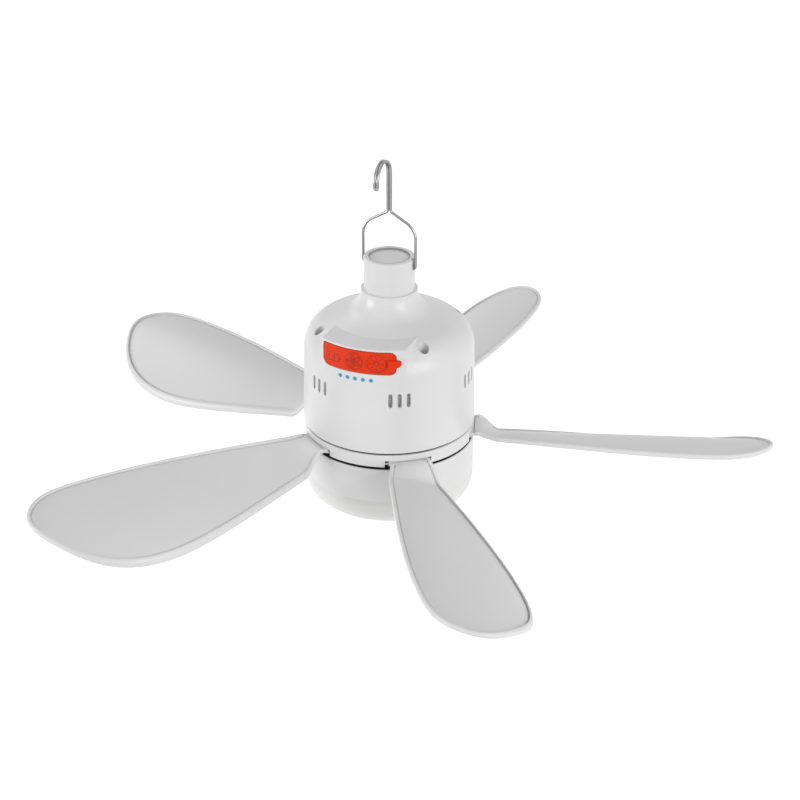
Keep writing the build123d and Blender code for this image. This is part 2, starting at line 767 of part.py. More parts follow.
with BuildPart() as motor_shaft:
    add(ring(SHAFT_R, SHAFT_BORE, SHAFT_FOOT, CUP_ROOF))
    add(ring(SHAFT_HEAD_R, SHAFT_BORE, CUP_ROOF, CUP_ROOF + SHAFT_HEAD_T))
save(motor_shaft, "motor_shaft")

with BuildPart() as motor_stator:
    with BuildSketch(Plane.XY.offset(STATOR_LOW)):
        Circle(STATOR_R)
        Circle(SHAFT_R, mode=Mode.SUBTRACT)
        with BuildSketch(mode=Mode.SUBTRACT):
            Circle(SLOT_TO)
            Circle(SLOT_FROM, mode=Mode.SUBTRACT)
            with PolarLocations((SLOT_FROM + SLOT_TO) / 2, TOOTH_COUNT):
                Rectangle(SLOT_TO - SLOT_FROM + 2 * TOOTH_ROOT, TOOTH_W, mode=Mode.SUBTRACT)
        with PolarLocations(STATOR_R, TOOTH_COUNT, start_angle=180 / TOOTH_COUNT):
            Rectangle(SLOT_MOUTH_L, SLOT_MOUTH_W, mode=Mode.SUBTRACT)
    extrude(amount=STATOR_HIGH - STATOR_LOW)
save(motor_stator, "motor_stator")

with BuildPart() as motor_windings:
    with BuildSketch(Plane.XY.offset(STATOR_LOW - COIL_END)):
        with PolarLocations((SLOT_FROM + SLOT_TO) / 2 + COIL_SHIFT, TOOTH_COUNT):
            RectangleRounded(
                SLOT_TO - SLOT_FROM - COIL_SHORT, TOOTH_W + 2 * COIL_SPREAD, COIL_CORNER,
            )
    extrude(amount=STATOR_HIGH - STATOR_LOW + 2 * COIL_END)
    with BuildSketch(Plane.XY.offset(STATOR_LOW)):
        with PolarLocations((SLOT_FROM + SLOT_TO) / 2, TOOTH_COUNT):
            Rectangle(SLOT_TO - SLOT_FROM + 2 * TOOTH_ROOT, TOOTH_W)
    extrude(amount=STATOR_HIGH - STATOR_LOW, mode=Mode.SUBTRACT)
save(motor_windings, "motor_windings")

with BuildPart() as lower_bearing:
    low = HUB_LOW + BEARING_IN
    add(ring(BEARING_R, SHAFT_R + RUNNING, low, low + BEARING_H))
save(lower_bearing, "lower_bearing")

with BuildPart() as upper_bearing:
    high = HUB_TOP - BEARING_IN
    add(ring(BEARING_R, SHAFT_R + RUNNING, high - BEARING_H, high))
save(upper_bearing, "upper_bearing")

with BuildPart() as motor_can:
    add(ring(CAN_R, HUB_R + CAN_GAP, WEB_TOP, WEB_TOP + CAN_WALL))
    add(ring(CAN_R, CAN_R - CAN_WALL, WEB_TOP, CAN_TOP))
    with BuildSketch(Plane.XY.offset(WEB_TOP)):
        with PolarLocations(CAN_SCREW_R, len(BLADE_ANGLES), start_angle=BLADE_ANGLES[0]):
            Circle(ROTOR_SCREW_R)
    extrude(amount=CAN_WALL, mode=Mode.SUBTRACT)
save(motor_can, "motor_can")

with BuildPart() as magnet_ring:
    outer = CAN_R - CAN_WALL
    add(ring(outer, outer - MAGNET_T, STATOR_LOW - MAGNET_OVER, STATOR_HIGH + MAGNET_OVER))
save(magnet_ring, "magnet_ring")

# ---- Rotor: a moulded wheel whose rim is slotted for the blade roots

with BuildPart() as rotor_ring:
    low_stop = HUB_LOW + BEARING_IN + BEARING_H
    high_stop = HUB_TOP - BEARING_IN - BEARING_H
    with BuildSketch(Plane.XZ):
        with BuildLine():
            FilletPolyline(
                (HUB_R, WEB_LOW), (BAND_INNER, WEB_LOW), (BAND_INNER, BAND_LOW),
                (RING_INNER, BAND_LOW), (RING_INNER, RING_LOW), (RING_R, RING_LOW),
                (RING_R, RING_TOP), (BAND_INNER, RING_TOP), (BAND_INNER, WEB_TOP),
                (HUB_R, WEB_TOP), (HUB_R, HUB_TOP), (BEARING_R, HUB_TOP),
                (BEARING_R, high_stop), (BEARING_STOP_R, high_stop), (BEARING_STOP_R, low_stop),
                (BEARING_R, low_stop), (BEARING_R, HUB_LOW), (HUB_R, HUB_LOW),
                radius=[RING_EDGE if corner == 6 else 0 for corner in range(18)], close=True,
            )
        make_face()
    revolve(axis=Axis.Z)
    for angle in BLADE_ANGLES:
        turn = radians(angle)
        frame = Plane(origin=(0, 0, RING_LOW), x_dir=(cos(turn), sin(turn), 0), z_dir=(0, 0, 1))
        with BuildSketch(frame):
            with Locations((SLOT_BACK, SLOT_CW - CHEEK), (SLOT_BACK, SLOT_CCW)):
                Rectangle(RING_INNER - SLOT_BACK, CHEEK, align=(Align.MIN, Align.MIN))
        extrude(amount=BAND_LOW - RING_LOW)
        with BuildSketch(frame):
            with Locations((SLOT_BACK, SLOT_CW)):
                Rectangle(SLOT_DEPTH, SLOT_CCW - SLOT_CW, align=(Align.MIN, Align.MIN))
        extrude(amount=BAND_LOW - RING_LOW, mode=Mode.SUBTRACT)
        side = Plane(
            origin=(FOLD_R * cos(turn), FOLD_R * sin(turn), FOLD_Z),
            x_dir=(0, 0, 1), z_dir=(-sin(turn), cos(turn), 0),
        )
        with BuildSketch(side.offset(SLOT_CW - PIN_GRIP)):
            Circle(PIN_R)
        extrude(amount=SLOT_CCW - SLOT_CW + 2 * PIN_GRIP, mode=Mode.SUBTRACT)
        with BuildSketch(Plane.XY.offset(RING_LOW + RIB_UP)):
            with PolarLocations((RIB_FROM + RIB_TO) / 2, 1, start_angle=angle + RIB_TURN):
                Rectangle(RIB_TO - RIB_FROM, RIB_W)
        extrude(amount=WEB_LOW - RING_LOW - RIB_UP)
    with BuildSketch(Plane.XY.offset(WEB_LOW)):
        with PolarLocations(CAN_SCREW_R, len(BLADE_ANGLES), start_angle=BLADE_ANGLES[0]):
            Circle(ROTOR_SCREW_R)
    extrude(amount=WEB_TOP - WEB_LOW, mode=Mode.SUBTRACT)
save(rotor_ring, "rotor_ring")

with BuildPart() as rotor_screws:
    with BuildSketch(Plane.XY.offset(WEB_LOW - ROTOR_HEAD_T)):
        with PolarLocations(CAN_SCREW_R, len(BLADE_ANGLES), start_angle=BLADE_ANGLES[0]):
            Circle(ROTOR_HEAD_R)
    extrude(amount=ROTOR_HEAD_T)
    with BuildSketch(Plane.XY.offset(WEB_LOW)):
        with PolarLocations(CAN_SCREW_R, len(BLADE_ANGLES), start_angle=BLADE_ANGLES[0]):
            Circle(ROTOR_SCREW_R)
    extrude(amount=WEB_TOP + CAN_WALL - WEB_LOW)
save(rotor_screws, "rotor_screws")

with BuildPart() as blade_pins:
    for angle in BLADE_ANGLES:
        turn = radians(angle)
        side = Plane(
            origin=(FOLD_R * cos(turn), FOLD_R * sin(turn), FOLD_Z),
            x_dir=(0, 0, 1), z_dir=(-sin(turn), cos(turn), 0),
        )
        with BuildSketch(side.offset(SLOT_CW - PIN_GRIP)):
            Circle(PIN_R)
        extrude(amount=SLOT_CCW - SLOT_CW + 2 * PIN_GRIP)
save(blade_pins, "blade_pins")

# ---- Blades: a curved panel with a raised lip, on a flat root with a hinge barrel


def camber_point(y, lift):
    """A point of the cambered section, raised from the panel's upper face by a lift."""
    return (y, CREST_Z - CAMBER_R + sqrt((CAMBER_R + lift) ** 2 - (y - CREST_Y) ** 2))


def camber_block(low, high):
    """The space between two lifts of the blade's face: flat at the root, cambered beyond."""
    lead, trail = CAMBER_SPAN
    middle = (lead + trail) / 2
    with BuildPart() as block:
        with BuildSketch(Plane.YZ.offset(ROOT_X)):
            Polygon(
                (lead, ROOT_Z + low), (trail, ROOT_Z + low), (trail, ROOT_Z + high),
                (lead, ROOT_Z + high), align=None,
            )
        with BuildSketch(Plane.YZ.offset(KINK_X)) as section:
            with BuildLine():
                ThreePointArc(*[camber_point(y, low) for y in (lead, middle, trail)])
                Line(camber_point(trail, low), camber_point(trail, high))
                ThreePointArc(*[camber_point(y, high) for y in (trail, middle, lead)])
                Line(camber_point(lead, high), camber_point(lead, low))
            make_face()
        loft(ruled=True)
        extrude(section.sketch, amount=TIP_X - KINK_X + TIP_SPARE)
    return block.part


def edge_points(inset):
    """The blade's edge from kink to kink, moved in square to itself by an inset."""
    points = [Vector(*point) for point in BLADE_EDGE]
    moved = [points[0] + Vector(0, inset)]
    for before, here, after in zip(points, points[1:], points[2:]):
        along = (after - before).normalized()
        moved.append(here + Vector(-along.Y, along.X) * inset)
    moved.append(points[-1] - Vector(0, inset))
    return moved


def blade_plan(inset, root_x):
    """The blade's plan as a tall prism that starts at root_x, its edge held in by an inset."""
    edge = edge_points(inset)
    lead = (root_x, ROOT_LEAD + inset)
    trail = (root_x, ROOT_TRAIL - inset)
    with BuildPart() as plan:
        with BuildSketch(Plane.XY.offset(CREST_Z - CAMBER_R / 2)):
            with BuildLine():
                Polyline(edge[-1], trail, lead, edge[0])
                Spline(*edge)
            make_face()
        extrude(amount=CAMBER_R)
    return plan.part


with BuildPart() as blade_pocket:
    add(camber_block(0, 2 * LIP_UP))
    add(blade_plan(LIP_W, ROOT_X - LIP_W), mode=Mode.INTERSECT)

with BuildPart() as blade:
    add(camber_block(-PANEL, LIP_UP))
    add(blade_plan(0, ROOT_X), mode=Mode.INTERSECT)
    add(blade_pocket.part, mode=Mode.SUBTRACT)
    root_width = ROOT_TRAIL - ROOT_LEAD
    with Locations((FOLD_R, ROOT_LEAD, ROOT_Z)):
        Box(ROOT_X - FOLD_R, root_width, PANEL, align=(Align.MIN, Align.MIN, Align.MAX))
    with BuildSketch(Plane.XZ.offset(-ROOT_TRAIL)):
        with Locations((FOLD_R, FOLD_Z)):
            Circle(BARREL_R)
    extrude(amount=root_width)
    with BuildSketch(Plane.XZ.offset(-ROOT_TRAIL)):
        with Locations((FOLD_R, FOLD_Z)):
            Circle(PIN_R + RUNNING)
    extrude(amount=root_width, mode=Mode.SUBTRACT)

for number, angle in enumerate(BLADE_ANGLES, start=1):
    with BuildPart() as turned_blade:
        add(blade.part, rotation=(0, 0, angle))
    save(turned_blade, f"blade_{number}")

# ---- Lamp: an opaque cup with the LED board, closed by a diffuser dome

with BuildPart() as lamp_housing:
    with BuildSketch(Plane.XZ):
        with BuildLine():
            FilletPolyline(
                (SHAFT_R, LAMP_TOP + LAMP_HUB_UP), (LAMP_HUB_R, LAMP_TOP + LAMP_HUB_UP),
                (LAMP_HUB_R, LAMP_TOP), (LAMP_R, LAMP_TOP), (LAMP_R, LAMP_SPLIT),
                (LAMP_R - LAMP_WALL, LAMP_SPLIT), (LAMP_R - LAMP_WALL, LAMP_TOP - LAMP_WALL),
                (LAMP_FOOT_R, LAMP_TOP - LAMP_WALL), (LAMP_FOOT_R, NUT_TOP), (SHAFT_R, NUT_TOP),
                radius=[0, 0, 0, LAMP_EDGE, 0, 0, LAMP_EDGE, 0, 0, 0], close=True,
            )
        make_face()
    revolve(axis=Axis.Z)
    with BuildSketch(Plane.XY.offset(LED_BOARD_TOP)):
        with PolarLocations(LAMP_BOSS_R, LAMP_BOSS_COUNT, start_angle=LAMP_BOSS_START):
            Circle(LAMP_PILLAR_R)
            Circle(LAMP_SCREW_R, mode=Mode.SUBTRACT)
    extrude(amount=LAMP_TOP - LAMP_WALL - LED_BOARD_TOP)
save(lamp_housing, "lamp_housing")

with BuildPart() as shaft_nut:
    with BuildSketch(Plane.XY.offset(NUT_LOW)):
        RegularPolygon(NUT_ACROSS_FLATS / 2, 6, major_radius=False)
        Circle(SHAFT_R, mode=Mode.SUBTRACT)
    extrude(amount=NUT_TOP - NUT_LOW)
save(shaft_nut, "shaft_nut")

with BuildPart() as led_board:
    with BuildSketch(Plane.XY.offset(LED_BOARD_LOW)):
        Circle(LED_BOARD_R)
        Circle(LED_HOLE_R, mode=Mode.SUBTRACT)
        with PolarLocations(LAMP_BOSS_R, LAMP_BOSS_COUNT, start_angle=LAMP_BOSS_START):
            Circle(LAMP_SCREW_R, mode=Mode.SUBTRACT)
    extrude(amount=LED_BOARD_TOP - LED_BOARD_LOW)
save(led_board, "led_board")

with BuildPart() as lamp_screws:
    with BuildSketch(Plane.XY.offset(LED_BOARD_LOW - LAMP_HEAD_T)):
        with PolarLocations(LAMP_BOSS_R, LAMP_BOSS_COUNT, start_angle=LAMP_BOSS_START):
            Circle(LAMP_HEAD_R)
    extrude(amount=LAMP_HEAD_T)
    with BuildSketch(Plane.XY.offset(LED_BOARD_LOW)):
        with PolarLocations(LAMP_BOSS_R, LAMP_BOSS_COUNT, start_angle=LAMP_BOSS_START):
            Circle(LAMP_SCREW_R)
    extrude(amount=LAMP_SCREW_L)
save(lamp_screws, "lamp_screws")

with BuildPart() as led_chips:
    with BuildSketch(Plane.XY.offset(LED_BOARD_LOW - LED_T)):
        for radius, count in LED_RINGS:
            with PolarLocations(radius, count):
                Rectangle(LED_W, LED_W)
    extrude(amount=LED_T)
save(led_chips, "led_chips")

with BuildPart() as diffuser:
    shoulder = Vector(*DOME_SHOULDER)
    spigot_r = LAMP_R - LAMP_WALL - SPIGOT_GAP
    inner_r = LAMP_R - LAMP_WALL - DOME_WALL
    with BuildSketch(Plane.XZ):
        with BuildLine():
            Polyline((0, LAMP_SPLIT), (LAMP_R, LAMP_SPLIT), (LAMP_R, DOME_START))
            Spline(
                (LAMP_R, DOME_START), shoulder, (0, DOME_LOW), tangents=[(0, -1), (-1, 0)],
            )
            Line((0, DOME_LOW), (0, LAMP_SPLIT))
        make_face()
    revolve(axis=Axis.Z)
    add(ring(spigot_r, inner_r, LAMP_SPLIT, SPIGOT_TOP))
    with BuildSketch(Plane.XZ):
        with BuildLine():
            Polyline((0, SPIGOT_TOP), (inner_r, SPIGOT_TOP), (inner_r, DOME_START))
            Spline(
                (inner_r, DOME_START), shoulder + Vector(-DOME_WALL, DOME_WALL) / sqrt(2),
                (0, DOME_LOW + DOME_WALL), tangents=[(0, -1), (-1, 0)],
            )
            Line((0, DOME_LOW + DOME_WALL), (0, SPIGOT_TOP))
        make_face()
    revolve(axis=Axis.Z, mode=Mode.SUBTRACT)
save(diffuser, "diffuser")
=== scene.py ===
"""Dresses a hanging camping fan: its construction parts come from the frame, and this script
adds the moulded blades, the lamp's shells, the wire hook, rings of painted shade in three
dark gaps and the raised signs, and gives every other part the finish of its real material."""

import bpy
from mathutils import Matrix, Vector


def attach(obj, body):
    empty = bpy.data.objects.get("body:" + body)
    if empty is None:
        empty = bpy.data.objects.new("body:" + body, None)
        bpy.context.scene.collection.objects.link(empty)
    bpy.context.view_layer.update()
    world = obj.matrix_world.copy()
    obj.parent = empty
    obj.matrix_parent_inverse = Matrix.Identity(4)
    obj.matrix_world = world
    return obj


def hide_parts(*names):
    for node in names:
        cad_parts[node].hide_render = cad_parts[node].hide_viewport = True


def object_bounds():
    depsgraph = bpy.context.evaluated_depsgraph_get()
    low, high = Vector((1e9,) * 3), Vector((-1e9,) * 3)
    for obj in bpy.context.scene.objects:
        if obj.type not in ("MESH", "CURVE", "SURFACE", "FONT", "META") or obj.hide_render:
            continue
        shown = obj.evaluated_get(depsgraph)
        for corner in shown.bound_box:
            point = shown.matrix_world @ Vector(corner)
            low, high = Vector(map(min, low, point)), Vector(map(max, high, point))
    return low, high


bl_info = {
    "name": "Camping fan",
    "version": (1, 0, 0),
    "blender": (4, 5, 0),
    "location": "View3D > Sidebar > Camping fan",
    "description": "Builds the dressed model of a hanging camping fan with a lamp",
    "category": "Add Mesh",
}

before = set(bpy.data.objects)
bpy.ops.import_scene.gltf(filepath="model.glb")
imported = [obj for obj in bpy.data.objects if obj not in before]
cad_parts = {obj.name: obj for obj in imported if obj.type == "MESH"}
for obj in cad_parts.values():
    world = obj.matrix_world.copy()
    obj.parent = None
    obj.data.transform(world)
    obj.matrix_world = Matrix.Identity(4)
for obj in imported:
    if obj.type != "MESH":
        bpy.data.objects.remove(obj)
CAD_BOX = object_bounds()

import bmesh
import bpy
import numpy as np
from bpy.props import FloatProperty, FloatVectorProperty, IntProperty, PointerProperty

MM = 0.001
TURN = 2 * np.pi

# Points closer together than WELD become one, and edges shorter than SLIVER are taken out.
# Both are in metres.
WELD = 1e-6
SLIVER = 1e-7
# Faces that meet at more than this many degrees keep a crease between them: in the pieces
# that are made here, and in the CAD parts, whose round faces are cut finer.
PIECE_CREASE = 40.0
CAD_CREASE = 16.0

# A wave texture turns its wave by this many radians over a metre at a scale of 1.
WAVE_RATE = 20.0
# How deep a groove in a banded surface is, as a share of the grooves' spacing.
GROOVE_DEPTH = 0.2

# From the point inside the hook where the fan hangs to its axis, at the height of the
# battery housing's lower edge, in mm. The forms below are drawn about that point.
AXIS = np.array((0.0, 8.6, -141.85))

# ---------------------------------------------------------------- colours and materials


def linear(code):
    """A colour written as sRGB hex, such as "E8E8E6", as linear RGBA by the sRGB curve."""
    value = np.array([int(code[place : place + 2], 16) for place in (0, 2, 4)]) / 255
    value = np.where(value <= 0.04045, value / 12.92, ((value + 0.055) / 1.055) ** 2.4)
    return (*value.tolist(), 1.0)


def add(tree, kind, inputs=None, **fields):
    """Adds one node to a tree. Inputs holds values or links for its sockets."""
    node = tree.nodes.new(kind)
    for field, value in fields.items():
        setattr(node, field, value)
    for socket, value in (inputs or {}).items():
        if isinstance(value, bpy.types.NodeSocket):
            tree.links.new(value, node.inputs[socket])
        else:
            node.inputs[socket].default_value = value
    return node


def finish(
    name, colour, shade, roughness, grain, depth,
    spread=16.0, bands=None, uneven=0.12, **sockets,
):
    """A material with a faint drift of colour and gloss over its surface and a fine relief.

    Spread is the size of the drift's patches, grain the size of the relief's grit and depth
    its height, all in mm. Uneven is how far the gloss drifts, as a share of the roughness.
    Bands adds grooves: their direction and their spacing in mm.
    """
    material = bpy.data.materials.new(name)
    material.use_nodes = True
    tree = material.node_tree
    tree.nodes.clear()
    spot = add(tree, "ShaderNodeTexCoord").outputs["Object"]
    cloud = add(
        tree,
        "ShaderNodeTexNoise",
        {"Vector": spot, "Scale": 1 / (spread * MM), "Detail": 3.0, "Roughness": 0.6},
    ).outputs[0]
    tint = add(
        tree,
        "ShaderNodeMix",
        {0: cloud, 6: linear(colour), 7: linear(shade)},
        data_type="RGBA",
    ).outputs[2]
    # The noise rarely leaves 0.3 to 0.7, so that is the range that the gloss follows.
    gloss = add(
        tree,
        "ShaderNodeMapRange",
        {
            "Value": cloud,
            "From Min": 0.3,
            "From Max": 0.7,
            "To Min": roughness * (1 - uneven),
            "To Max": roughness * (1 + uneven),
        },
    ).outputs[0]
    grit = add(
        tree,
        "ShaderNodeTexNoise",
        {"Vector": spot, "Scale": 1 / (grain * MM), "Detail": 2.0, "Roughness": 0.5},
    ).outputs[0]
    relief = add(
        tree, "ShaderNodeBump", {"Height": grit, "Distance": depth * MM, "Strength": 1.0}
    ).outputs[0]
    if bands:
        way, gap = bands
        groove = add(
            tree,
            "ShaderNodeTexWave",
            {"Vector": spot, "Scale": TURN / (WAVE_RATE * gap * MM), "Distortion": 0.0},
            bands_direction=way,
        ).outputs["Fac"]
        relief = add(
            tree,
            "ShaderNodeBump",
            {
                "Height": groove,
                "Distance": gap * GROOVE_DEPTH * MM,
                "Strength": 1.0,
                "Normal": relief,
            },
        ).outputs[0]
    shader = add(
        tree,
        "ShaderNodeBsdfPrincipled",
        {"Base Color": tint, "Roughness": gloss, "Normal": relief, **sockets},
    )
    add(tree, "ShaderNodeOutputMaterial", {"Surface": shader.outputs[0]})


def metal(name, colour, shade, roughness, grain, depth, **more):
    """A finish for bare or plated metal, which keeps the default IOR."""
    finish(name, colour, shade, roughness, grain, depth, Metallic=1.0, **more)


def make_materials():
    """Makes every material of the fan."""
    # ABS, injection moulded in a finely eroded tool: a soft sheen and an even, slightly
    # waxy white. The real grit is about 0.05 mm, drawn at 0.5 mm so that it shows.
    finish("abs_moulded_white", "E9E9E9", "E7E7E7", 0.32, 0.5, 0.003, spread=60.0, uneven=0.04)
    finish("abs_moulded_blade", "E9E9E9", "E6E6E6", 0.36, 0.5, 0.003, spread=60.0, uneven=0.05)
    finish("abs_moulded_grey", "C9C9C7", "C2C2C0", 0.50, 0.6, 0.01)
    # Nylon gauze, woven of white threads 0.6 mm apart: a pale net, darker in its holes.
    finish("nylon_gauze", "D6D6D4", "C8C8C6", 0.7, 0.6, 0.02, bands=("Z", 0.6))
    # Painted shade: a dead black for the rings that darken the running gaps by the rotor ring.
    finish("painted_gap_shade_black", "121214", "0C0C0E", 0.95, 0.3, 0.05, spread=4.0)
    # Painted shade: a flat pale grey without a gleam, for the ring that darkens the cap's seam.
    finish("painted_seam_shade_grey", "A4A4A3", "9B9B9A", 0.8, 0.3, 0.01)
    # Silicone, compression moulded: a dense colour under a matt skin with hardly a gleam.
    finish(
        "silicone_moulded_orange", "F03A08", "EA3606", 0.6, 0.4, 0.008,
        **{"IOR": 1.41, "Specular IOR Level": 0.35},
    )
    finish("silicone_raised_sign", "C4300F", "BA2C0C", 0.55, 0.4, 0.008, **{"IOR": 1.41})
    # Spring steel wire, drawn and nickel plated: a bright skin with faint die lines.
    metal("steel_wire_plated", "9F9F9E", "8F8F8E", 0.2, 0.3, 0.002, spread=6.0)
    # Polycarbonate, moulded with a frosted inside: cloudy white that light sinks into.
    finish(
        "polycarbonate_frosted", "ECECEB", "E7E7E5", 0.38, 0.7, 0.004, spread=40.0,
        **{
            "IOR": 1.58,
            "Subsurface Weight": 0.25,
            "Subsurface Radius": (1.0, 0.95, 0.9),
            "Subsurface Scale": 2.0 * MM,
        },
    )
    # Polycarbonate light guide, clear moulded and lit by a blue diode behind it.
    finish(
        "light_guide_blue", "2E93BE", "288AB6", 0.3, 0.5, 0.002,
        **{"Emission Color": linear("2E93BE"), "Emission Strength": 0.18},
    )
    # Screws and a nut, turned and zinc plated.
    metal("steel_zinc_plated", "B9BABB", "A7A8AA", 0.32, 0.25, 0.004, spread=3.0)
    # The shaft, the pins and the bearings' rings, ground bright, and the rotor can, which is
    # deep drawn and duller.
    metal("steel_ground", "BCBCBC", "B0B0B0", 0.22, 0.2, 0.002, spread=5.0)
    metal("steel_drawn_can", "8E8F92", "83848A", 0.38, 0.4, 0.006, spread=9.0)
    # Silicon steel, stamped into sheets 0.5 mm thick and stacked.
    metal("steel_laminated", "77787C", "6B6C70", 0.45, 0.4, 0.004, bands=("Z", 0.5))
    # Nickel: rolled strip, spot welded to the cells, and the socket's plated shell.
    metal("nickel_strip", "C8C6BE", "BAB8B0", 0.28, 0.3, 0.003, spread=4.0)
    # Copper wire, enamelled and wound in layers 0.4 mm apart.
    metal("copper_enamelled", "B8703E", "A96233", 0.34, 0.4, 0.004, bands=("Z", 0.4))
    # Ferrite, pressed and sintered: a dark, dull ceramic.
    finish("ferrite_sintered", "3A3A3C", "313133", 0.62, 0.3, 0.02)
    # Circuit boards: glass-filled epoxy under green or white solder mask.
    finish("solder_mask_green", "1F5A35", "184A2B", 0.36, 1.2, 0.03, spread=5.0)
    finish("solder_mask_white", "EDEDEA", "E4E4E0", 0.34, 1.2, 0.02, spread=8.0)
    # Cells in heat-shrink film: a smooth gloss skin drawn tight.
    finish("heat_shrink_blue", "3A6CA8", "33629C", 0.26, 2.5, 0.02, spread=9.0)
    # Phosphor cast in silicone over each diode: a dull, even yellow.
    finish("phosphor_cast", "E9C64B", "DDB73C", 0.58, 0.3, 0.01)


# The CAD parts that have each finish.
NODE_FINISHES = {
    "abs_moulded_white": ("upper_housing", "neck_stem", "neck_cap", "rotor_ring"),
    "abs_moulded_grey": ("base_plate", "battery_tray", "fan_button", "light_button"),
    "silicone_moulded_orange": ("port_cover", "cover_anchor"),
    "light_guide_blue": ("level_lights",),
    "steel_zinc_plated": ("housing_screws", "rotor_screws", "lamp_screws", "shaft_nut"),
    "steel_ground": ("motor_shaft", "lower_bearing", "upper_bearing", "blade_pins"),
    "steel_drawn_can": ("motor_can",),
    "steel_laminated": ("motor_stator",),
    "nickel_strip": ("battery_contacts", "usb_socket"),
    "copper_enamelled": ("motor_windings",),
    "ferrite_sintered": ("magnet_ring",),
    "solder_mask_green": ("control_board",),
    "solder_mask_white": ("led_board",),
    "heat_shrink_blue": ("battery_cells",),
    "phosphor_cast": ("led_chips",),
}

# ---------------------------------------------------------------- meshes


def place(points):
    """Turns millimetres about the fan's axis into metres in the frame."""
    return (points + AXIS) * MM


def grid_faces(rows, columns, loop_rows=False):
    """The quads of a grid whose last column joins its first, and its rows too on request."""
    down = rows if loop_rows else rows - 1
    row, column = np.meshgrid(np.arange(down), np.arange(columns), indexing="ij")
    below = (row + 1) % rows
    after = (column + 1) % columns
    corners = (
        row * columns + column,
        row * columns + after,
        below * columns + after,
        below * columns + column,
    )
    return np.stack(corners, axis=-1).reshape(-1, 4)


def new_piece(name, grids, material, body, replaced=()):
    """One object from closed grids of points, merged at poles and turned outwards.

    A grid is (points, loop_rows) with points as rows x columns x 3 in mm about the axis.
    """
    points = np.concatenate([grid.reshape(-1, 3) for grid, _ in grids])
    starts = np.cumsum([0] + [grid.shape[0] * grid.shape[1] for grid, _ in grids])
    faces = np.concatenate(
        [
            grid_faces(*grid.shape[:2], loop) + start
            for (grid, loop), start in zip(grids, starts)
        ]
    )
    mesh = bpy.data.meshes.new(name)
    mesh.from_pydata(place(points).tolist(), [], faces.tolist())
    work = bmesh.new()
    work.from_mesh(mesh)
    bmesh.ops.remove_doubles(work, verts=work.verts, dist=WELD)
    bmesh.ops.dissolve_degenerate(work, edges=work.edges, dist=SLIVER)
    bmesh.ops.recalc_face_normals(work, faces=work.faces)
    work.to_mesh(mesh)
    work.free()
    mesh.shade_smooth()
    mesh.set_sharp_from_angle(angle=np.radians(PIECE_CREASE))
    mesh.materials.append(bpy.data.materials[material])
    piece = bpy.data.objects.new(name, mesh)
    bpy.context.scene.collection.objects.link(piece)
    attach(piece, body)
    if replaced:
        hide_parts(*replaced)


def rounded(corners, radii, steps=14):
    """A path through corners, each turned by an arc of its own radius.

    The arc starts at radius x tan(half the turn) before the corner, and its points are that
    start plus radius x (sin a along the run coming in + (1 - cos a) towards the inside).
    """
    corners = np.asarray(corners, float)
    ways = np.roll(corners, -1, axis=0) - corners
    ways /= np.linalg.norm(ways, axis=1, keepdims=True)
    path = []
    for corner, radius, coming, going in zip(corners, radii, np.roll(ways, 1, axis=0), ways):
        turn = np.arccos(np.clip(coming @ going, -1, 1))
        if not radius:
            path.append(corner[None])
            continue
        inside = going - coming * (coming @ going)
        inside /= np.linalg.norm(inside)
        angle = np.linspace(0, turn, steps)[:, None]
        start = corner - coming * radius * np.tan(turn / 2)
        path.append(start + radius * (np.sin(angle) * coming + (1 - np.cos(angle)) * inside))
    return np.vstack(path)


def evenly(path, count, closed=False):
    """Points at even spacing along a path, which closes on its first point on request."""
    if closed:
        path = np.vstack((path, path[:1]))
    run = np.concatenate(([0], np.cumsum(np.linalg.norm(np.diff(path, axis=0), axis=1))))
    at = np.linspace(0, run[-1], count, endpoint=not closed)
    return np.stack([np.interp(at, run, column) for column in path.T], axis=1)


def smooth_curve(knots, count):
    """A natural cubic spline through knots, with the distance along the knots as parameter.

    The second derivatives at the knots solve the usual three-term system, with none at the
    ends, and each span is the cubic that they and its two knots fix.
    """
    knots = np.asarray(knots, float)
    reach = np.concatenate(([0], np.cumsum(np.linalg.norm(np.diff(knots, axis=0), axis=1))))
    gap = np.diff(reach)
    slope = np.diff(knots, axis=0) / gap[:, None]
    system = np.eye(len(knots))
    inner = np.arange(1, len(knots) - 1)
    system[inner, inner - 1] = gap[:-1]
    system[inner, inner] = 2 * (gap[:-1] + gap[1:])
    system[inner, inner + 1] = gap[1:]
    bend = np.zeros_like(knots)
    bend[inner] = 6 * np.diff(slope, axis=0)
    bend = np.linalg.solve(system, bend)
    at = np.linspace(0, reach[-1], count)
    span = np.clip(np.searchsorted(reach, at, side="right") - 1, 0, len(gap) - 1)
    left = ((reach[span + 1] - at) / gap[span])[:, None]
    right = 1 - left
    pull = (gap[span] ** 2)[:, None] / 6
    return (
        left * knots[span]
        + right * knots[span + 1]
        + pull * ((left**3 - left) * bend[span] + (right**3 - right) * bend[span + 1])
    )


def revolved(profile, around=192):
    """A profile of (radius, height) turned about the axis: (r cos a, r sin a, z)."""
    angle = np.linspace(0, TURN, around, endpoint=False)
    radius, height = profile[:, :1], profile[:, 1:]
    return np.stack(
        (radius * np.cos(angle), radius * np.sin(angle), height + 0 * angle), axis=-1
    )


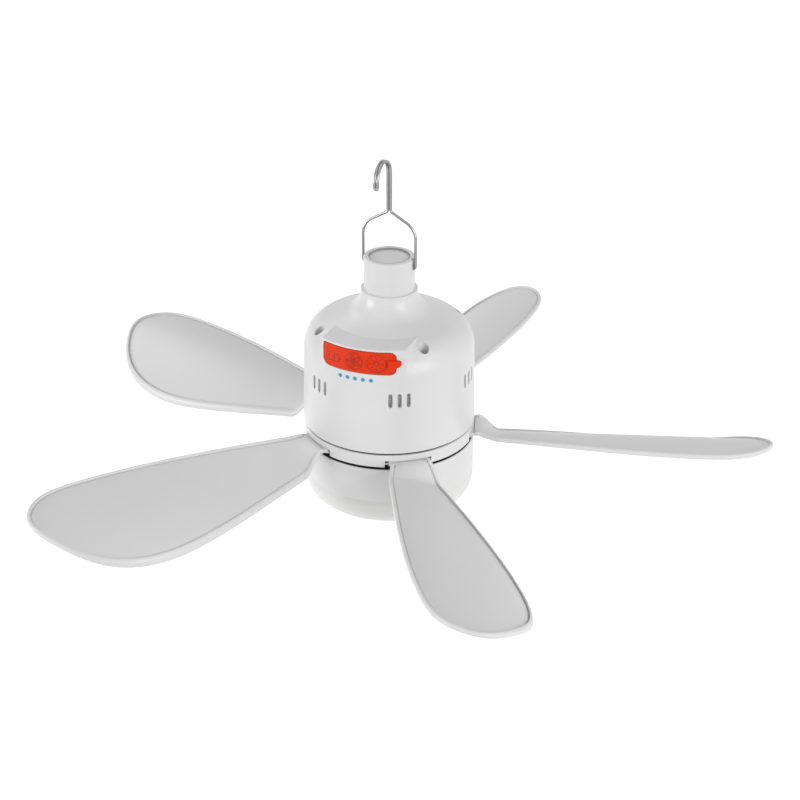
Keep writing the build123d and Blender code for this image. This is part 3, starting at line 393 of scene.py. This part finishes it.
def tube(path, radius, around=20, ball_rows=5, slant=(1.0, 1.0, 0.3)):
    """A round bar along a path: path + radius x (cos a x side + sin a x up), with ball ends.

    Side is square to the path and to slant, a direction that the path never runs along.
    """
    ahead = np.gradient(path, axis=0)
    ahead /= np.linalg.norm(ahead, axis=1, keepdims=True)
    bow = np.linspace(0, np.pi / 2, ball_rows + 1)[:-1, None]
    centres = np.vstack(
        (
            path[0] - ahead[0] * radius * np.cos(bow),
            path,
            path[-1] + ahead[-1] * radius * np.cos(bow[::-1]),
        )
    )
    widths = np.concatenate(
        (radius * np.sin(bow[:, 0]), np.full(len(path), radius), radius * np.sin(bow[::-1, 0]))
    )
    first = np.repeat(ahead[:1], ball_rows, axis=0)
    last = np.repeat(ahead[-1:], ball_rows, axis=0)
    ahead = np.vstack((first, ahead, last))
    side = np.cross(slant, ahead)
    side /= np.linalg.norm(side, axis=1, keepdims=True)
    up = np.cross(ahead, side)
    angle = np.linspace(0, TURN, around, endpoint=False)[None, :, None]
    ring = np.cos(angle) * side[:, None] + np.sin(angle) * up[:, None]
    return centres[:, None] + widths[:, None, None] * ring


def plate(edge, section, drape, fade=1.0, fading=0, pull=0.06, inner_rows=14):
    """A closed plate with a shaped rim.

    The section, a run of (inset, lift) from the upper face over the rim to the lower face, is
    carried round the edge. Each face then runs in straight lines from the section's end to a
    spine, the points midway between edge points that are as far along from either end, drawn
    in by the share that pull gives. Fade, a share for each edge point, shrinks every inset
    there, and the lifts of the section's first rows, as many as fading says. Drape(a, b, lift)
    puts the flat points on the real surface.
    """
    count = len(edge)
    along = np.roll(edge, -1, axis=0) - np.roll(edge, 1, axis=0)
    along /= np.linalg.norm(along, axis=1, keepdims=True)
    inward = np.stack((-along[:, 1], along[:, 0]), axis=1)
    area = np.sum(edge[:, 0] * np.roll(edge[:, 1], -1) - np.roll(edge[:, 0], -1) * edge[:, 1])
    inward *= np.sign(area)
    fade = np.broadcast_to(fade, count)
    middle = (edge + edge[(-np.arange(count)) % count]) / 2
    spine = middle + (middle.mean(axis=0) - middle) * pull
    section = np.asarray(section, float)
    inset = section[:, :1, None] * fade[None, :, None]
    rim = edge[None] + inset * inward[None]
    lift = np.repeat(section[:, 1:], count, axis=1)
    lift[:fading] *= fade
    step = np.linspace(0, 1, inner_rows, endpoint=False)[:, None, None]
    upper = spine[None] + (rim[:1] - spine[None]) * step
    lower = (spine[None] + (rim[-1:] - spine[None]) * step)[::-1]
    flat = np.concatenate((upper, rim, lower))
    lift_above = np.repeat(lift[:1], inner_rows, axis=0)
    lift_below = np.repeat(lift[-1:], inner_rows, axis=0)
    heights = np.concatenate((lift_above, lift, lift_below))
    return np.stack(drape(flat[..., 0], flat[..., 1], heights), axis=-1)


def turned(points, degrees):
    """Points turned about the fan's axis."""
    cos, sin = np.cos(np.radians(degrees)), np.sin(np.radians(degrees))
    x, y, z = np.moveaxis(points, -1, 0)
    return np.stack((x * cos - y * sin, x * sin + y * cos, z), axis=-1)


def soft_shading():
    """A node group that merges a CAD part's loose triangles and shades its curved faces
    smooth, with a crease wherever two faces meet at more than CAD_CREASE."""
    group = bpy.data.node_groups.new("soft_shading", "GeometryNodeTree")
    group.interface.new_socket("Part", in_out="INPUT", socket_type="NodeSocketGeometry")
    group.interface.new_socket("Part", in_out="OUTPUT", socket_type="NodeSocketGeometry")
    part = add(group, "NodeGroupInput").outputs[0]
    merged = add(group, "GeometryNodeMergeByDistance", {0: part, "Distance": WELD}).outputs[0]
    bend = add(group, "GeometryNodeInputMeshEdgeAngle").outputs[0]
    sharp = add(
        group,
        "FunctionNodeCompare",
        {0: bend, 1: np.radians(CAD_CREASE)},
        data_type="FLOAT",
        operation="GREATER_THAN",
    ).outputs[0]
    smooth = add(
        group, "GeometryNodeSetShadeSmooth", {0: merged, "Shade Smooth": True}
    ).outputs[0]
    creased = add(
        group,
        "GeometryNodeSetShadeSmooth",
        {0: smooth, "Selection": sharp, "Shade Smooth": False},
        domain="EDGE",
    ).outputs[0]
    add(group, "NodeGroupOutput", {0: creased})
    return group


def dress_nodes(*names):
    """Gives CAD parts their material and smooth shading, and leaves their meshes alone."""
    group = bpy.data.node_groups.get("soft_shading") or soft_shading()
    material_of = {node: name for name, nodes in NODE_FINISHES.items() for node in nodes}
    for name in names:
        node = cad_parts[name]
        node.material_slots[0].material = bpy.data.materials[material_of[name]]
        shading = node.modifiers.new("soft_shading", "NODES")
        shading.node_group = group


# ---------------------------------------------------------------- settings


class HookSettings(bpy.types.PropertyGroup):
    """Sizes of the bent wire."""

    wire: FloatProperty(
        name="Wire", description="Radius of the wire", default=0.75 * MM, unit="LENGTH"
    )
    reach: FloatProperty(
        name="Leg",
        description="Distance of a leg from the axis",
        default=14.3 * MM,
        unit="LENGTH",
    )
    bend: FloatProperty(
        name="Bend", description="Radius of the hook's bend", default=8.6 * MM, unit="LENGTH"
    )


class BladeSettings(bpy.types.PropertyGroup):
    """Sizes of a moulded blade."""

    panel: FloatProperty(
        name="Panel", description="Thickness of the panel", default=1.6 * MM, unit="LENGTH"
    )
    lip: FloatProperty(
        name="Lip",
        description="Height of the rim above the panel",
        default=1.1 * MM,
        unit="LENGTH",
    )
    camber: FloatProperty(
        name="Camber",
        description="Radius of the curved section",
        default=78 * MM,
        unit="LENGTH",
    )
    edge_points: IntProperty(
        name="Edge points", description="Points round the blade's edge", default=260, min=40
    )


class SignSettings(bpy.types.PropertyGroup):
    """Sizes of the raised signs on the cover strip."""

    line: FloatProperty(
        name="Line", description="Width of a raised line", default=0.62 * MM, unit="LENGTH"
    )
    rise: FloatProperty(
        name="Rise", description="Height of a raised line", default=0.22 * MM, unit="LENGTH"
    )


class LampSettings(bpy.types.PropertyGroup):
    """Sizes of the lamp."""

    radius: FloatProperty(
        name="Radius", description="Radius of the lamp's body", default=44.7 * MM, unit="LENGTH"
    )
    swell: FloatProperty(
        name="Swell", description="Power of the dome's curve", default=2.62, min=2.0, max=4.0
    )


class StageSettings(bpy.types.PropertyGroup):
    """Light, floor and camera."""

    floor_colour: FloatVectorProperty(
        name="Floor",
        description="Colour of the floor",
        subtype="COLOR",
        default=(0.9, 0.9, 0.9),
    )
    drop: FloatProperty(
        name="Drop",
        description="Height of the fan above the floor",
        default=0.75,
        unit="LENGTH",
    )
    sky: FloatProperty(name="Sky", description="Strength of the even light", default=0.4)


# ---------------------------------------------------------------- operators


class FAN_OT_materials(bpy.types.Operator):
    """Makes every material"""

    bl_idname = "camping_fan.materials"
    bl_label = "Materials"

    def execute(self, context):
        make_materials()
        return {"FINISHED"}


class FAN_OT_hook(bpy.types.Operator):
    """Bends the wire hook: one wire up, over, round at the tip and back beside itself"""

    bl_idname = "camping_fan.hook"
    bl_label = "Wire hook"

    # A foot's end inside the neck, and the middle of each strand where two run side by side.
    FOOT_X = 10.6
    STRAND_X = 0.8
    # Heights of the feet, the top of the legs, the foot and top of the stem, and the tip.
    FOOT_Z = 84.8
    LEG_TOP_Z = 105.8
    STEM_Z = 113.6
    STEM_TOP_Z = 134.0
    TIP_Z = 131.8
    # Radii of the turns from foot to leg, leg to shoulder and shoulder to stem.
    FOOT_TURN = 1.3
    LEG_TURN = 10.0
    STEM_TURN = 1.6
    POINTS = 520

    def execute(self, context):
        sizes = context.scene.fan_hook
        leg, bend, wire = sizes.reach / MM, sizes.bend / MM, sizes.wire / MM
        half = np.array(
            (
                (self.FOOT_X, 0, self.FOOT_Z),
                (leg, 0, self.FOOT_Z),
                (leg, 0, self.LEG_TOP_Z),
                (self.STRAND_X, 0, self.STEM_Z),
                (self.STRAND_X, 0, self.STEM_TOP_Z + bend),
                (self.STRAND_X, -2 * bend, self.STEM_TOP_Z + bend),
                (self.STRAND_X, -2 * bend, self.TIP_Z - self.STRAND_X),
            )
        )
        turns = [0, self.FOOT_TURN, self.LEG_TURN, self.STEM_TURN, bend, bend, self.STRAND_X]
        corners = np.vstack((half, half[::-1] * (-1, 1, 1)))
        path = evenly(rounded(corners, turns + turns[::-1]), self.POINTS)
        new_piece(
            "hook_wire",
            [(tube(path, wire), False)],
            "steel_wire_plated",
            "hook",
            ["hook"],
        )
        return {"FINISHED"}


class FAN_OT_housing(bpy.types.Operator):
    """Finishes the battery housing and its neck"""

    bl_idname = "camping_fan.housing"
    bl_label = "Battery housing"

    def execute(self, context):
        dress_nodes("upper_housing", "neck_stem", "neck_cap", "base_plate", "housing_screws")
        return {"FINISHED"}


# The strip's outer face: its radius at the housing's lower edge and its draft in degrees.
COVER_RADIUS = 45.0
COVER_DRAFT = 1.23
# How far a raised line reaches in under that face, and the share of its full width that an
# open line has one point before its end.
SIGN_SINK = 0.15
SIGN_TAPER = 0.75


def cover_surface(x, height, lift):
    """A point over the cover strip, x across: the strip is part of a cone, so its radius is
    that at the lower edge - height x tan(draft), and the lift adds to that."""
    radius = COVER_RADIUS - height * np.tan(np.radians(COVER_DRAFT)) + lift
    return x, -np.sqrt(radius**2 - x**2), height


def raised_line(path, width, rise, closed):
    """A raised line along a flat path: half its width x cos a to the side, and rise x sin a
    up, or a little way down under the surface; an open line shrinks to nothing at its ends."""
    along = np.gradient(path, axis=0)
    if closed:
        along = np.roll(path, -1, axis=0) - np.roll(path, 1, axis=0)
    along /= np.linalg.norm(along, axis=1, keepdims=True)
    side = np.stack((-along[:, 1], along[:, 0]), axis=1)
    size = np.ones(len(path))
    if not closed:
        size[[0, -1]] = 0
        size[[1, -2]] = SIGN_TAPER
    angle = np.linspace(0, TURN, 12, endpoint=False)
    across = width / 2 * np.cos(angle)
    up = np.sin(angle) * np.where(np.sin(angle) > 0, rise, SIGN_SINK)
    flat = path[:, None] + (size[:, None] * across)[..., None] * side[:, None]
    lift = size[:, None] * up
    return np.stack(cover_surface(flat[..., 0], flat[..., 1], lift), axis=-1), closed


def circle(x, height, radius, count=72):
    """A flat circle."""
    angle = np.linspace(0, TURN, count, endpoint=False)
    return np.stack((x + radius * np.cos(angle), height + radius * np.sin(angle)), axis=1)


class FAN_OT_cover(bpy.types.Operator):
    """Finishes the cover strip with its raised signs, and the keys and socket under it"""

    bl_idname = "camping_fan.cover"
    bl_label = "Cover strip"

    # The middle of each sign: across the strip, and its height.
    CHARGE_AT = (-12.9, 49.3)
    FAN_AT = (-1.4, 49.9)
    LAMP_AT = (10.3, 49.9)

    def execute(self, context):
        sizes = context.scene.fan_signs
        width, rise = sizes.line / MM, sizes.rise / MM
        dress_nodes("port_cover", "cover_anchor", "fan_button", "light_button", "usb_socket")
        signs = {
            "sign_charge": self.charge_sign(*self.CHARGE_AT),
            "sign_fan": self.fan_sign(*self.FAN_AT),
            "sign_lamp": self.lamp_sign(*self.LAMP_AT),
        }
        for name, lines in signs.items():
            grids = [raised_line(path, width, rise, closed) for path, closed in lines]
            new_piece(name, grids, "silicone_raised_sign", "port_cover")
        return {"FINISHED"}

    @staticmethod
    def charge_sign(x, height):
        """A battery with a flash in it."""
        half_w, half_h, corner = 3.0, 2.0, 0.7
        knob_x, knob_half = half_w + 0.65, 0.7
        case = [(-half_w, -half_h), (half_w, -half_h), (half_w, half_h), (-half_w, half_h)]
        case = evenly(rounded(case, [corner] * 4, 6), 80, closed=True)
        knob = evenly(np.array(((knob_x, -knob_half), (knob_x, knob_half))), 8)
        flash = evenly(np.array(((0.5, 1.35), (-0.75, -0.1), (0.75, 0.1), (-0.5, -1.35))), 30)
        centre = np.array((x, height))
        return [(case + centre, True), (knob + centre, False), (flash + centre, False)]

    @staticmethod
    def fan_sign(x, height):
        """A ring with five curved blades round a hub.

        A blade's outline is a drop: its distance out is middle + half length x cos t, its
        distance to the side half width x sin t, and it leans round as it goes out.
        """
        ring, hub = 4.45, 0.5
        middle, half_length, half_width, lean, first = 2.35, 1.3, 0.85, 0.16, 0.3
        lines = [(circle(x, height, ring), True), (circle(x, height, hub, 24), True)]
        step = np.linspace(0, TURN, 36, endpoint=False)
        out = middle + half_length * np.cos(step)
        aside = half_width * np.sin(step) / out + (out - 1.0) * lean
        for blade in range(5):
            angle = TURN * blade / 5 + first + aside
            drop = np.stack((x + out * np.cos(angle), height + out * np.sin(angle)), axis=1)
            lines.append((drop, True))
        return lines

    @staticmethod
    def lamp_sign(x, height):
        """A ring with a small sun in it: a disc's rim and eight short rays."""
        ring, disc, rays = 4.7, 1.35, 8
        reach = np.linspace(2.35, 3.75, 8)[:, None]
        lines = [(circle(x, height, ring), True), (circle(x, height, disc, 40), True)]
        for ray in range(rays):
            angle = TURN * ray / rays
            way = np.array((np.cos(angle), np.sin(angle)))
            lines.append((np.array((x, height)) + reach * way, False))
        return lines


class FAN_OT_level_lights(bpy.types.Operator):
    """Finishes the five battery-level lights"""

    bl_idname = "camping_fan.level_lights"
    bl_label = "Level lights"

    def execute(self, context):
        dress_nodes("level_lights")
        return {"FINISHED"}


class FAN_OT_power(bpy.types.Operator):
    """Finishes the control board, the cells, their tray and contacts"""

    bl_idname = "camping_fan.power"
    bl_label = "Board and cells"

    def execute(self, context):
        dress_nodes("control_board", "battery_tray", "battery_cells", "battery_contacts")
        return {"FINISHED"}


class FAN_OT_motor(bpy.types.Operator):
    """Finishes the motor"""

    bl_idname = "camping_fan.motor"
    bl_label = "Motor"

    def execute(self, context):
        dress_nodes(
            "motor_shaft",
            "motor_stator",
            "motor_windings",
            "motor_can",
            "magnet_ring",
            "lower_bearing",
            "upper_bearing",
        )
        return {"FINISHED"}


# Rings of painted shade, each a thin rectangle turned about the axis: inner and outer radius,
# lower and upper edge, the body that it sits on and its material. The edge value rounds its
# corners.
SHADE_RINGS = {
    # The two black rings are painted shade that darkens the running gaps above and below the
    # rotor ring.
    "gap_shade_ring_upper": (30.4, 43.5, -1.4, -1.25, "rotor", "painted_gap_shade_black"),
    "gap_shade_ring_lower": (16.0, 44.3, -9.6, -9.3, "housing", "painted_gap_shade_black"),
    # This grey ring is painted shade that draws the dark seam between the cap and the neck.
    "cap_seam_shade_ring": (10.18, 10.58, 88.97, 89.8, "housing", "painted_seam_shade_grey"),
}
SHADE_RING_EDGE = 0.04


class FAN_OT_shade_rings_and_gauze(bpy.types.Operator):
    """Lays black rings of painted shade in the two running gaps, a grey ring of painted shade
    in the seam round the cap, and gauze behind the vents
    """

    bl_idname = "camping_fan.seals"
    bl_label = "Shade rings and gauze"

    # The gauze: the radius it is bent to, half its width, its lower and upper edge, the
    # rounding of its corners, and the turn from the X axis to the first group of vents.
    RADIUS = 41.9
    HALF_WIDTH = 6.2
    LOW = 24.4
    HIGH = 34.6
    CORNER = 0.8
    FIRST_TURN = -1.3
    GROUPS = 6

    def execute(self, context):
        for name, (inner, outer, low, high, body, material) in SHADE_RINGS.items():
            corners = ((inner, low), (outer, low), (outer, high), (inner, high))
            section = rounded(corners, [SHADE_RING_EDGE] * 4, 4)
            new_piece(name, [(revolved(section), True)], material, body)
        self.gauze()
        return {"FINISHED"}

    def gauze(self):
        """A strip of gauze behind each group of vents, bent to the inside of the wall."""

        def drape(along, height, lift):
            """Along is a length round the wall at the gauze's radius."""
            angle, radius = along / self.RADIUS, self.RADIUS + lift
            return radius * np.cos(angle), radius * np.sin(angle), height

        half, low, high = self.HALF_WIDTH, self.LOW, self.HIGH
        edge = np.array(((-half, low), (half, low), (half, high), (-half, high)))
        edge = evenly(rounded(edge, [self.CORNER] * 4, 6), 96, closed=True)
        section = ((0.2, 0.0), (0.0, 0.0), (0.0, -0.3), (0.2, -0.3))
        strip = plate(edge, section, drape, inner_rows=8)
        strips = [
            (turned(strip, group * 360 / self.GROUPS + self.FIRST_TURN), False)
            for group in range(self.GROUPS)
        ]
        new_piece("vent_gauze", strips, "nylon_gauze", "housing")


class FAN_OT_rotor(bpy.types.Operator):
    """Finishes the slotted rotor ring, its screws and the hinge pins"""

    bl_idname = "camping_fan.rotor"
    bl_label = "Rotor ring"

    def execute(self, context):
        dress_nodes("rotor_ring", "rotor_screws", "blade_pins")
        return {"FINISHED"}


class FAN_OT_blades(bpy.types.Operator):
    """Moulds the five blades, each a curved panel with a raised rim on a hinge barrel"""

    bl_idname = "camping_fan.blades"
    bl_label = "Blades"

    # Along the blade: where its shell starts, where the flat root with its straight sides
    # ends, and where the panel has its full curve.
    START_X = 45.0
    FLAT_TO = 46.5
    KINK_X = 58.5
    # The rim rises from nothing to its full height over this length from the start.
    FADE_RUN = 1.5
    # The root's top, middle and underside, and the line where the curved panel is highest.
    ROOT_Z = -4.7
    ROOT_MIDDLE_Z = -5.5
    ROOT_LOW_Z = -6.3
    CREST_Y = -25.0
    CREST_Z = -5.2
    # The root's sides, and where the outline begins between them.
    SIDE_LOW = -10.9
    SIDE_HIGH = 9.9
    SEAM_Y = -0.5
    # The outline from the root's low side round the tip and back to its high side.
    KNOTS = (
        (57.5, -14.8), (113.6, -23.9), (165.0, -27.6), (191.0, -21.6), (200.8, -6.9),
        (194.6, 8.4), (178.0, 22.4), (150.0, 28.8), (115.7, 26.0), (57.5, 12.9),
    )
    # The hinge barrel's middle and radius.
    BARREL_X = 40.8
    BARREL_Z = -6.9
    BARREL_R = 1.7
    ANGLES = (18, 90, 162, 234, 306)

    def execute(self, context):
        sizes = context.scene.fan_blades
        panel, lip, camber = sizes.panel / MM, sizes.lip / MM, sizes.camber / MM

        def drape(x, y, lift):
            """Height is that of an arc of the camber's radius about a line along the blade,
            mixed from FLAT_TO to KINK_X with the flat root's height."""
            aside = y - self.CREST_Y
            arc = self.CREST_Z - camber + np.sqrt((camber + lift) ** 2 - aside**2)
            share = np.clip((x - self.FLAT_TO) / (self.KINK_X - self.FLAT_TO), 0, 1)
            share = share**2 * (3 - 2 * share)
            return x, y, (1 - share) * (self.ROOT_Z + lift) + share * arc

        start = (
            (self.START_X, self.SEAM_Y),
            (self.START_X, self.SIDE_LOW),
            (self.FLAT_TO, self.SIDE_LOW),
        )
        end = ((self.FLAT_TO, self.SIDE_HIGH), (self.START_X, self.SIDE_HIGH))
        edge = np.vstack((start, smooth_curve(self.KNOTS, 400), end))
        edge = evenly(edge, sizes.edge_points, closed=True)
        away = np.clip((edge[:, 0] - self.START_X) / self.FADE_RUN, 0, 1)
        fade = away**2 * (3 - 2 * away)
        # The panel's top, the groove at the rim's foot, the rim's inner side and rounded top.
        above = (
            (3.4, 0.0), (2.7, 0.0), (2.5, -0.05), (2.4, -0.25), (2.32, -0.62), (1.86, -0.62),
            (1.76, -0.25), (1.72, 0.1), (1.68, 0.75 * lip), (1.6, 0.9 * lip), (1.4, lip),
            (1.1, lip), (0.7, 0.93 * lip), (0.38, 0.76 * lip), (0.15, 0.5 * lip),
            (0.03, 0.2 * lip), (0.0, -0.1),
        )
        # The rim's outer side down to the panel's underside.
        below = ((0.0, -0.7 * panel), (0.12, -0.92 * panel), (0.45, -panel))
        shell = plate(edge, above + below, drape, fade, fading=len(above))
        root = self.root()
        for number, angle in enumerate(self.ANGLES, start=1):
            new_piece(
                f"blade_shell_{number}",
                [(turned(shell, angle), False), (turned(root, angle), False)],
                "abs_moulded_blade",
                f"blade_{number}",
                [f"blade_{number}"],
            )
        return {"FINISHED"}

    def root(self):
        """The flat tongue with its hinge barrel, an outline in x and z carried across. It
        runs a little way into the shell."""
        into = self.START_X + 0.4
        # The barrel runs from its top round its far side to a little below its middle.
        angle = np.linspace(np.pi / 2, TURN - 0.36, 30)
        barrel = np.stack(
            (
                self.BARREL_X + self.BARREL_R * np.cos(angle),
                self.BARREL_Z + self.BARREL_R * np.sin(angle),
            ),
            axis=1,
        )
        top = (
            (into, self.ROOT_MIDDLE_Z), (into, self.ROOT_Z), (self.BARREL_X, self.ROOT_Z),
        )
        outline = np.vstack((top, barrel, ((into, self.ROOT_LOW_Z),)))
        outline = evenly(outline, 96, closed=True)
        section = [(0.3, 9.9), (0.0, 9.7), (0.0, -10.7), (0.3, -10.9)]
        return plate(
            outline, section, lambda x, z, side: (x, side, z), pull=0.1, inner_rows=4
        )


class FAN_OT_lamp(bpy.types.Operator):
    """Makes the lamp's body and its dome, and finishes what they hold"""

    bl_idname = "camping_fan.lamp"
    bl_label = "Lamp"

    # The lamp's body: its wall, the hole for the shaft with the boss above and the hub
    # below it, and the heights of its faces from the top down.
    WALL = 2.0
    BORE_R = 4.0
    BOSS_R = 6.0
    HUB_R = 9.0
    BOSS_Z = -8.5
    TOP_Z = -9.6
    CEILING_Z = -11.6
    HUB_Z = -12.8
    EDGE_Z = -28.7
    # The dome: the heights where its bowl begins and where it ends, outside and inside,
    # where its rim meets the body, and the top of the collar that stands up inside the
    # body's wall. The collar's two faces lie COLLAR_OUT and COLLAR_IN from the outside.
    BOWL_Z = -31.0
    BOTTOM_Z = -50.0
    INNER_BOTTOM_Z = -48.4
    RIM_Z = -28.8
    COLLAR_Z = -25.6
    COLLAR_OUT = 2.1
    COLLAR_IN = 3.6

    def execute(self, context):
        sizes = context.scene.fan_lamp
        radius = sizes.radius / MM
        inner = radius - self.WALL
        body = rounded(
            (
                (self.BORE_R, self.BOSS_Z),
                (self.BOSS_R, self.BOSS_Z),
                (self.BOSS_R, self.TOP_Z),
                (radius, self.TOP_Z),
                (radius, self.EDGE_Z),
                (inner, self.EDGE_Z),
                (inner, self.CEILING_Z),
                (self.HUB_R, self.CEILING_Z),
                (self.HUB_R, self.HUB_Z),
                (self.BORE_R, self.HUB_Z),
            ),
            [0, 0.3, 0.3, 1.0, 0.25, 0.2, 1.0, 0.4, 0.3, 0],
            8,
        )
        new_piece(
            "lamp_shell",
            [(revolved(body), True)],
            "abs_moulded_white",
            "housing",
            ["lamp_housing"],
        )
        collar_out, collar_in = radius - self.COLLAR_OUT, radius - self.COLLAR_IN
        outside = self.dome(radius, self.BOWL_Z, self.BOTTOM_Z, sizes.swell)
        inside = self.dome(collar_in, self.BOWL_Z, self.INNER_BOTTOM_Z, sizes.swell)
        rim = rounded(
            (
                (radius, self.RIM_Z),
                (collar_out, self.RIM_Z),
                (collar_out, self.COLLAR_Z),
                (collar_in, self.COLLAR_Z),
            ),
            [0.25, 0.2, 0.2, 0.2],
            5,
        )
        section = np.vstack((outside[::-1], rim, inside))
        new_piece(
            "lamp_dome",
            [(revolved(section), False)],
            "polycarbonate_frosted",
            "housing",
            ["diffuser"],
        )
        dress_nodes("shaft_nut", "led_board", "lamp_screws", "led_chips")
        return {"FINISHED"}

    @staticmethod
    def dome(radius, top, bottom, power):
        """A bowl's section from rim to middle: with t from 0 to 90 degrees, the radius is
        R cos(t)^(2 / power) and the depth D sin(t)^(2 / power)."""
        angle = np.linspace(0, np.pi / 2, 90)
        out = radius * np.cos(angle) ** (2 / power)
        out[-1] = 0
        down = top + (bottom - top) * np.sin(angle) ** (2 / power)
        return np.stack((out, down), axis=1)


# Where the lamps are aimed: the middle of the fan's body, in metres.
AIM = np.array((0.0, 0.0, -0.12))


def area_light(name, where, size, power):
    """A square lamp that faces the middle of the fan."""
    lamp = bpy.data.lights.new(name, "AREA")
    lamp.shape = "SQUARE"
    lamp.size = size
    lamp.energy = power
    holder = bpy.data.objects.new(name, lamp)
    holder.location = where
    way = AIM - np.array(where)
    holder.rotation_euler = (
        np.arctan2(np.hypot(way[0], way[1]), -way[2]),
        0.0,
        np.arctan2(way[1], way[0]) - np.pi / 2,
    )
    bpy.context.scene.collection.objects.link(holder)


def looked_at(tree):
    """1 for rays from the camera, from a glossy surface or through glass, 0 for all others."""
    path = add(tree, "ShaderNodeLightPath").outputs
    seen = path["Is Camera Ray"]
    for other in ("Is Glossy Ray", "Is Transmission Ray"):
        seen = add(
            tree, "ShaderNodeMath", {0: seen, 1: path[other]}, operation="MAXIMUM"
        ).outputs[0]
    return seen


class FAN_OT_stage(bpy.types.Operator):
    """Sets the floor, the soft light and the camera"""

    bl_idname = "camping_fan.stage"
    bl_label = "Stage"

    # Half the floor's width in metres, and the strength of the even light that it gives off.
    FLOOR_HALF = 12.0
    FLOOR_GLOW = 0.75
    # Each lamp's place and width in metres and its power in watts.
    LAMPS = {
        "light_front_left": ((-1.5, -1.1, 0.0), 0.9, 15.5),
        "light_front_right": ((1.45, -0.75, 0.25), 1.0, 12.0),
        "light_upper_left": ((-1.3, 0.6, 0.95), 0.8, 4.2),
        "light_upper_right": ((1.3, 0.0, 0.9), 0.6, 2.2),
    }
    # The camera's place in mm about the axis and its turns in degrees, its lens and sensor
    # in mm, its sideways shift as a share of the sensor, and how far it sees in metres.
    CAMERA_AT = (324.8, -804.0, 450.3)
    CAMERA_TURN = (62.96, 0.0, 22.0)
    LENS = 83.25
    SENSOR = 36.0
    SHIFT = 0.0135
    SIGHT = 60.0

    def execute(self, context):
        sizes = context.scene.fan_stage
        half = self.FLOOR_HALF
        level = CAD_BOX[0].z - sizes.drop
        corners = ((-half, -half), (half, -half), (half, half), (-half, half))
        mesh = bpy.data.meshes.new("floor")
        mesh.from_pydata([(x, y, level) for x, y in corners], [], [(0, 1, 2, 3)])
        floor = bpy.data.objects.new("floor", mesh)
        context.scene.collection.objects.link(floor)
        mesh.materials.append(self.floor_material(sizes))
        self.world(context, sizes)
        for name, (where, size, power) in self.LAMPS.items():
            area_light(name, where, size, power)
        self.camera(context)
        return {"FINISHED"}

    def floor_material(self, sizes):
        """Pale and matt. A camera, a mirror or clear glass also gets a little even light
        from it, so that it looks white there but still takes a shadow."""
        material = bpy.data.materials.new("floor_matt_white")
        material.use_nodes = True
        tree = material.node_tree
        tree.nodes.clear()
        lit = add(
            tree,
            "ShaderNodeMath",
            {0: looked_at(tree), 1: self.FLOOR_GLOW},
            operation="MULTIPLY",
        ).outputs[0]
        matt = add(
            tree, "ShaderNodeBsdfDiffuse", {"Color": (*sizes.floor_colour, 1.0)}
        ).outputs[0]
        glow = add(
            tree, "ShaderNodeEmission", {"Color": (1, 1, 1, 1), "Strength": lit}
        ).outputs[0]
        both = add(tree, "ShaderNodeAddShader", {0: matt, 1: glow}).outputs[0]
        add(tree, "ShaderNodeOutputMaterial", {"Surface": both})
        return material

    @staticmethod
    def world(context, sizes):
        """An even sky, which looks plain white to the camera, in mirrors and through glass."""
        world = bpy.data.worlds.new("studio")
        context.scene.world = world
        world.use_nodes = True
        tree = world.node_tree
        tree.nodes.clear()
        strength = add(
            tree,
            "ShaderNodeMapRange",
            {"Value": looked_at(tree), "To Min": sizes.sky, "To Max": 1.0},
        ).outputs[0]
        sky = add(
            tree, "ShaderNodeBackground", {"Color": (1, 1, 1, 1), "Strength": strength}
        ).outputs[0]
        add(tree, "ShaderNodeOutputWorld", {"Surface": sky})

    def camera(self, context):
        """Stands in front and to the right, above the fan, and looks down 27 degrees."""
        data = bpy.data.cameras.new("camera")
        data.lens = self.LENS
        data.sensor_width = self.SENSOR
        data.shift_x = self.SHIFT
        data.clip_end = self.SIGHT
        camera = bpy.data.objects.new("camera", data)
        camera.location = place(np.array(self.CAMERA_AT)).tolist()
        camera.rotation_euler = np.radians(self.CAMERA_TURN).tolist()
        context.scene.collection.objects.link(camera)
        context.scene.camera = camera
        context.scene.view_settings.view_transform = "Standard"


class FAN_PT_panel(bpy.types.Panel):
    """Lists the steps that build the fan"""

    bl_idname = "FAN_PT_panel"
    bl_label = "Camping fan"
    bl_space_type = "VIEW_3D"
    bl_region_type = "UI"
    bl_category = "Camping fan"

    def draw(self, context):
        for step in STEPS:
            self.layout.operator(step.bl_idname)


STEPS = (
    FAN_OT_materials,
    FAN_OT_hook,
    FAN_OT_housing,
    FAN_OT_cover,
    FAN_OT_level_lights,
    FAN_OT_power,
    FAN_OT_motor,
    FAN_OT_rotor,
    FAN_OT_shade_rings_and_gauze,
    FAN_OT_blades,
    FAN_OT_lamp,
    FAN_OT_stage,
)
SETTINGS = {
    "fan_hook": HookSettings,
    "fan_blades": BladeSettings,
    "fan_signs": SignSettings,
    "fan_lamp": LampSettings,
    "fan_stage": StageSettings,
}


def register():
    """Registers the classes and hangs the settings on the scene."""
    for kind in (*SETTINGS.values(), *STEPS, FAN_PT_panel):
        bpy.utils.register_class(kind)
    for name, kind in SETTINGS.items():
        setattr(bpy.types.Scene, name, PointerProperty(type=kind))


def unregister():
    """Takes the settings off the scene and removes the classes."""
    for name in SETTINGS:
        delattr(bpy.types.Scene, name)
    for kind in (FAN_PT_panel, *reversed(STEPS), *SETTINGS.values()):
        bpy.utils.unregister_class(kind)


def main():
    """Runs each step in order."""
    register()
    for step in STEPS:
        name = step.bl_idname.split(".")[1]
        getattr(bpy.ops.camping_fan, name)()


if __name__ == "__main__":
    main()
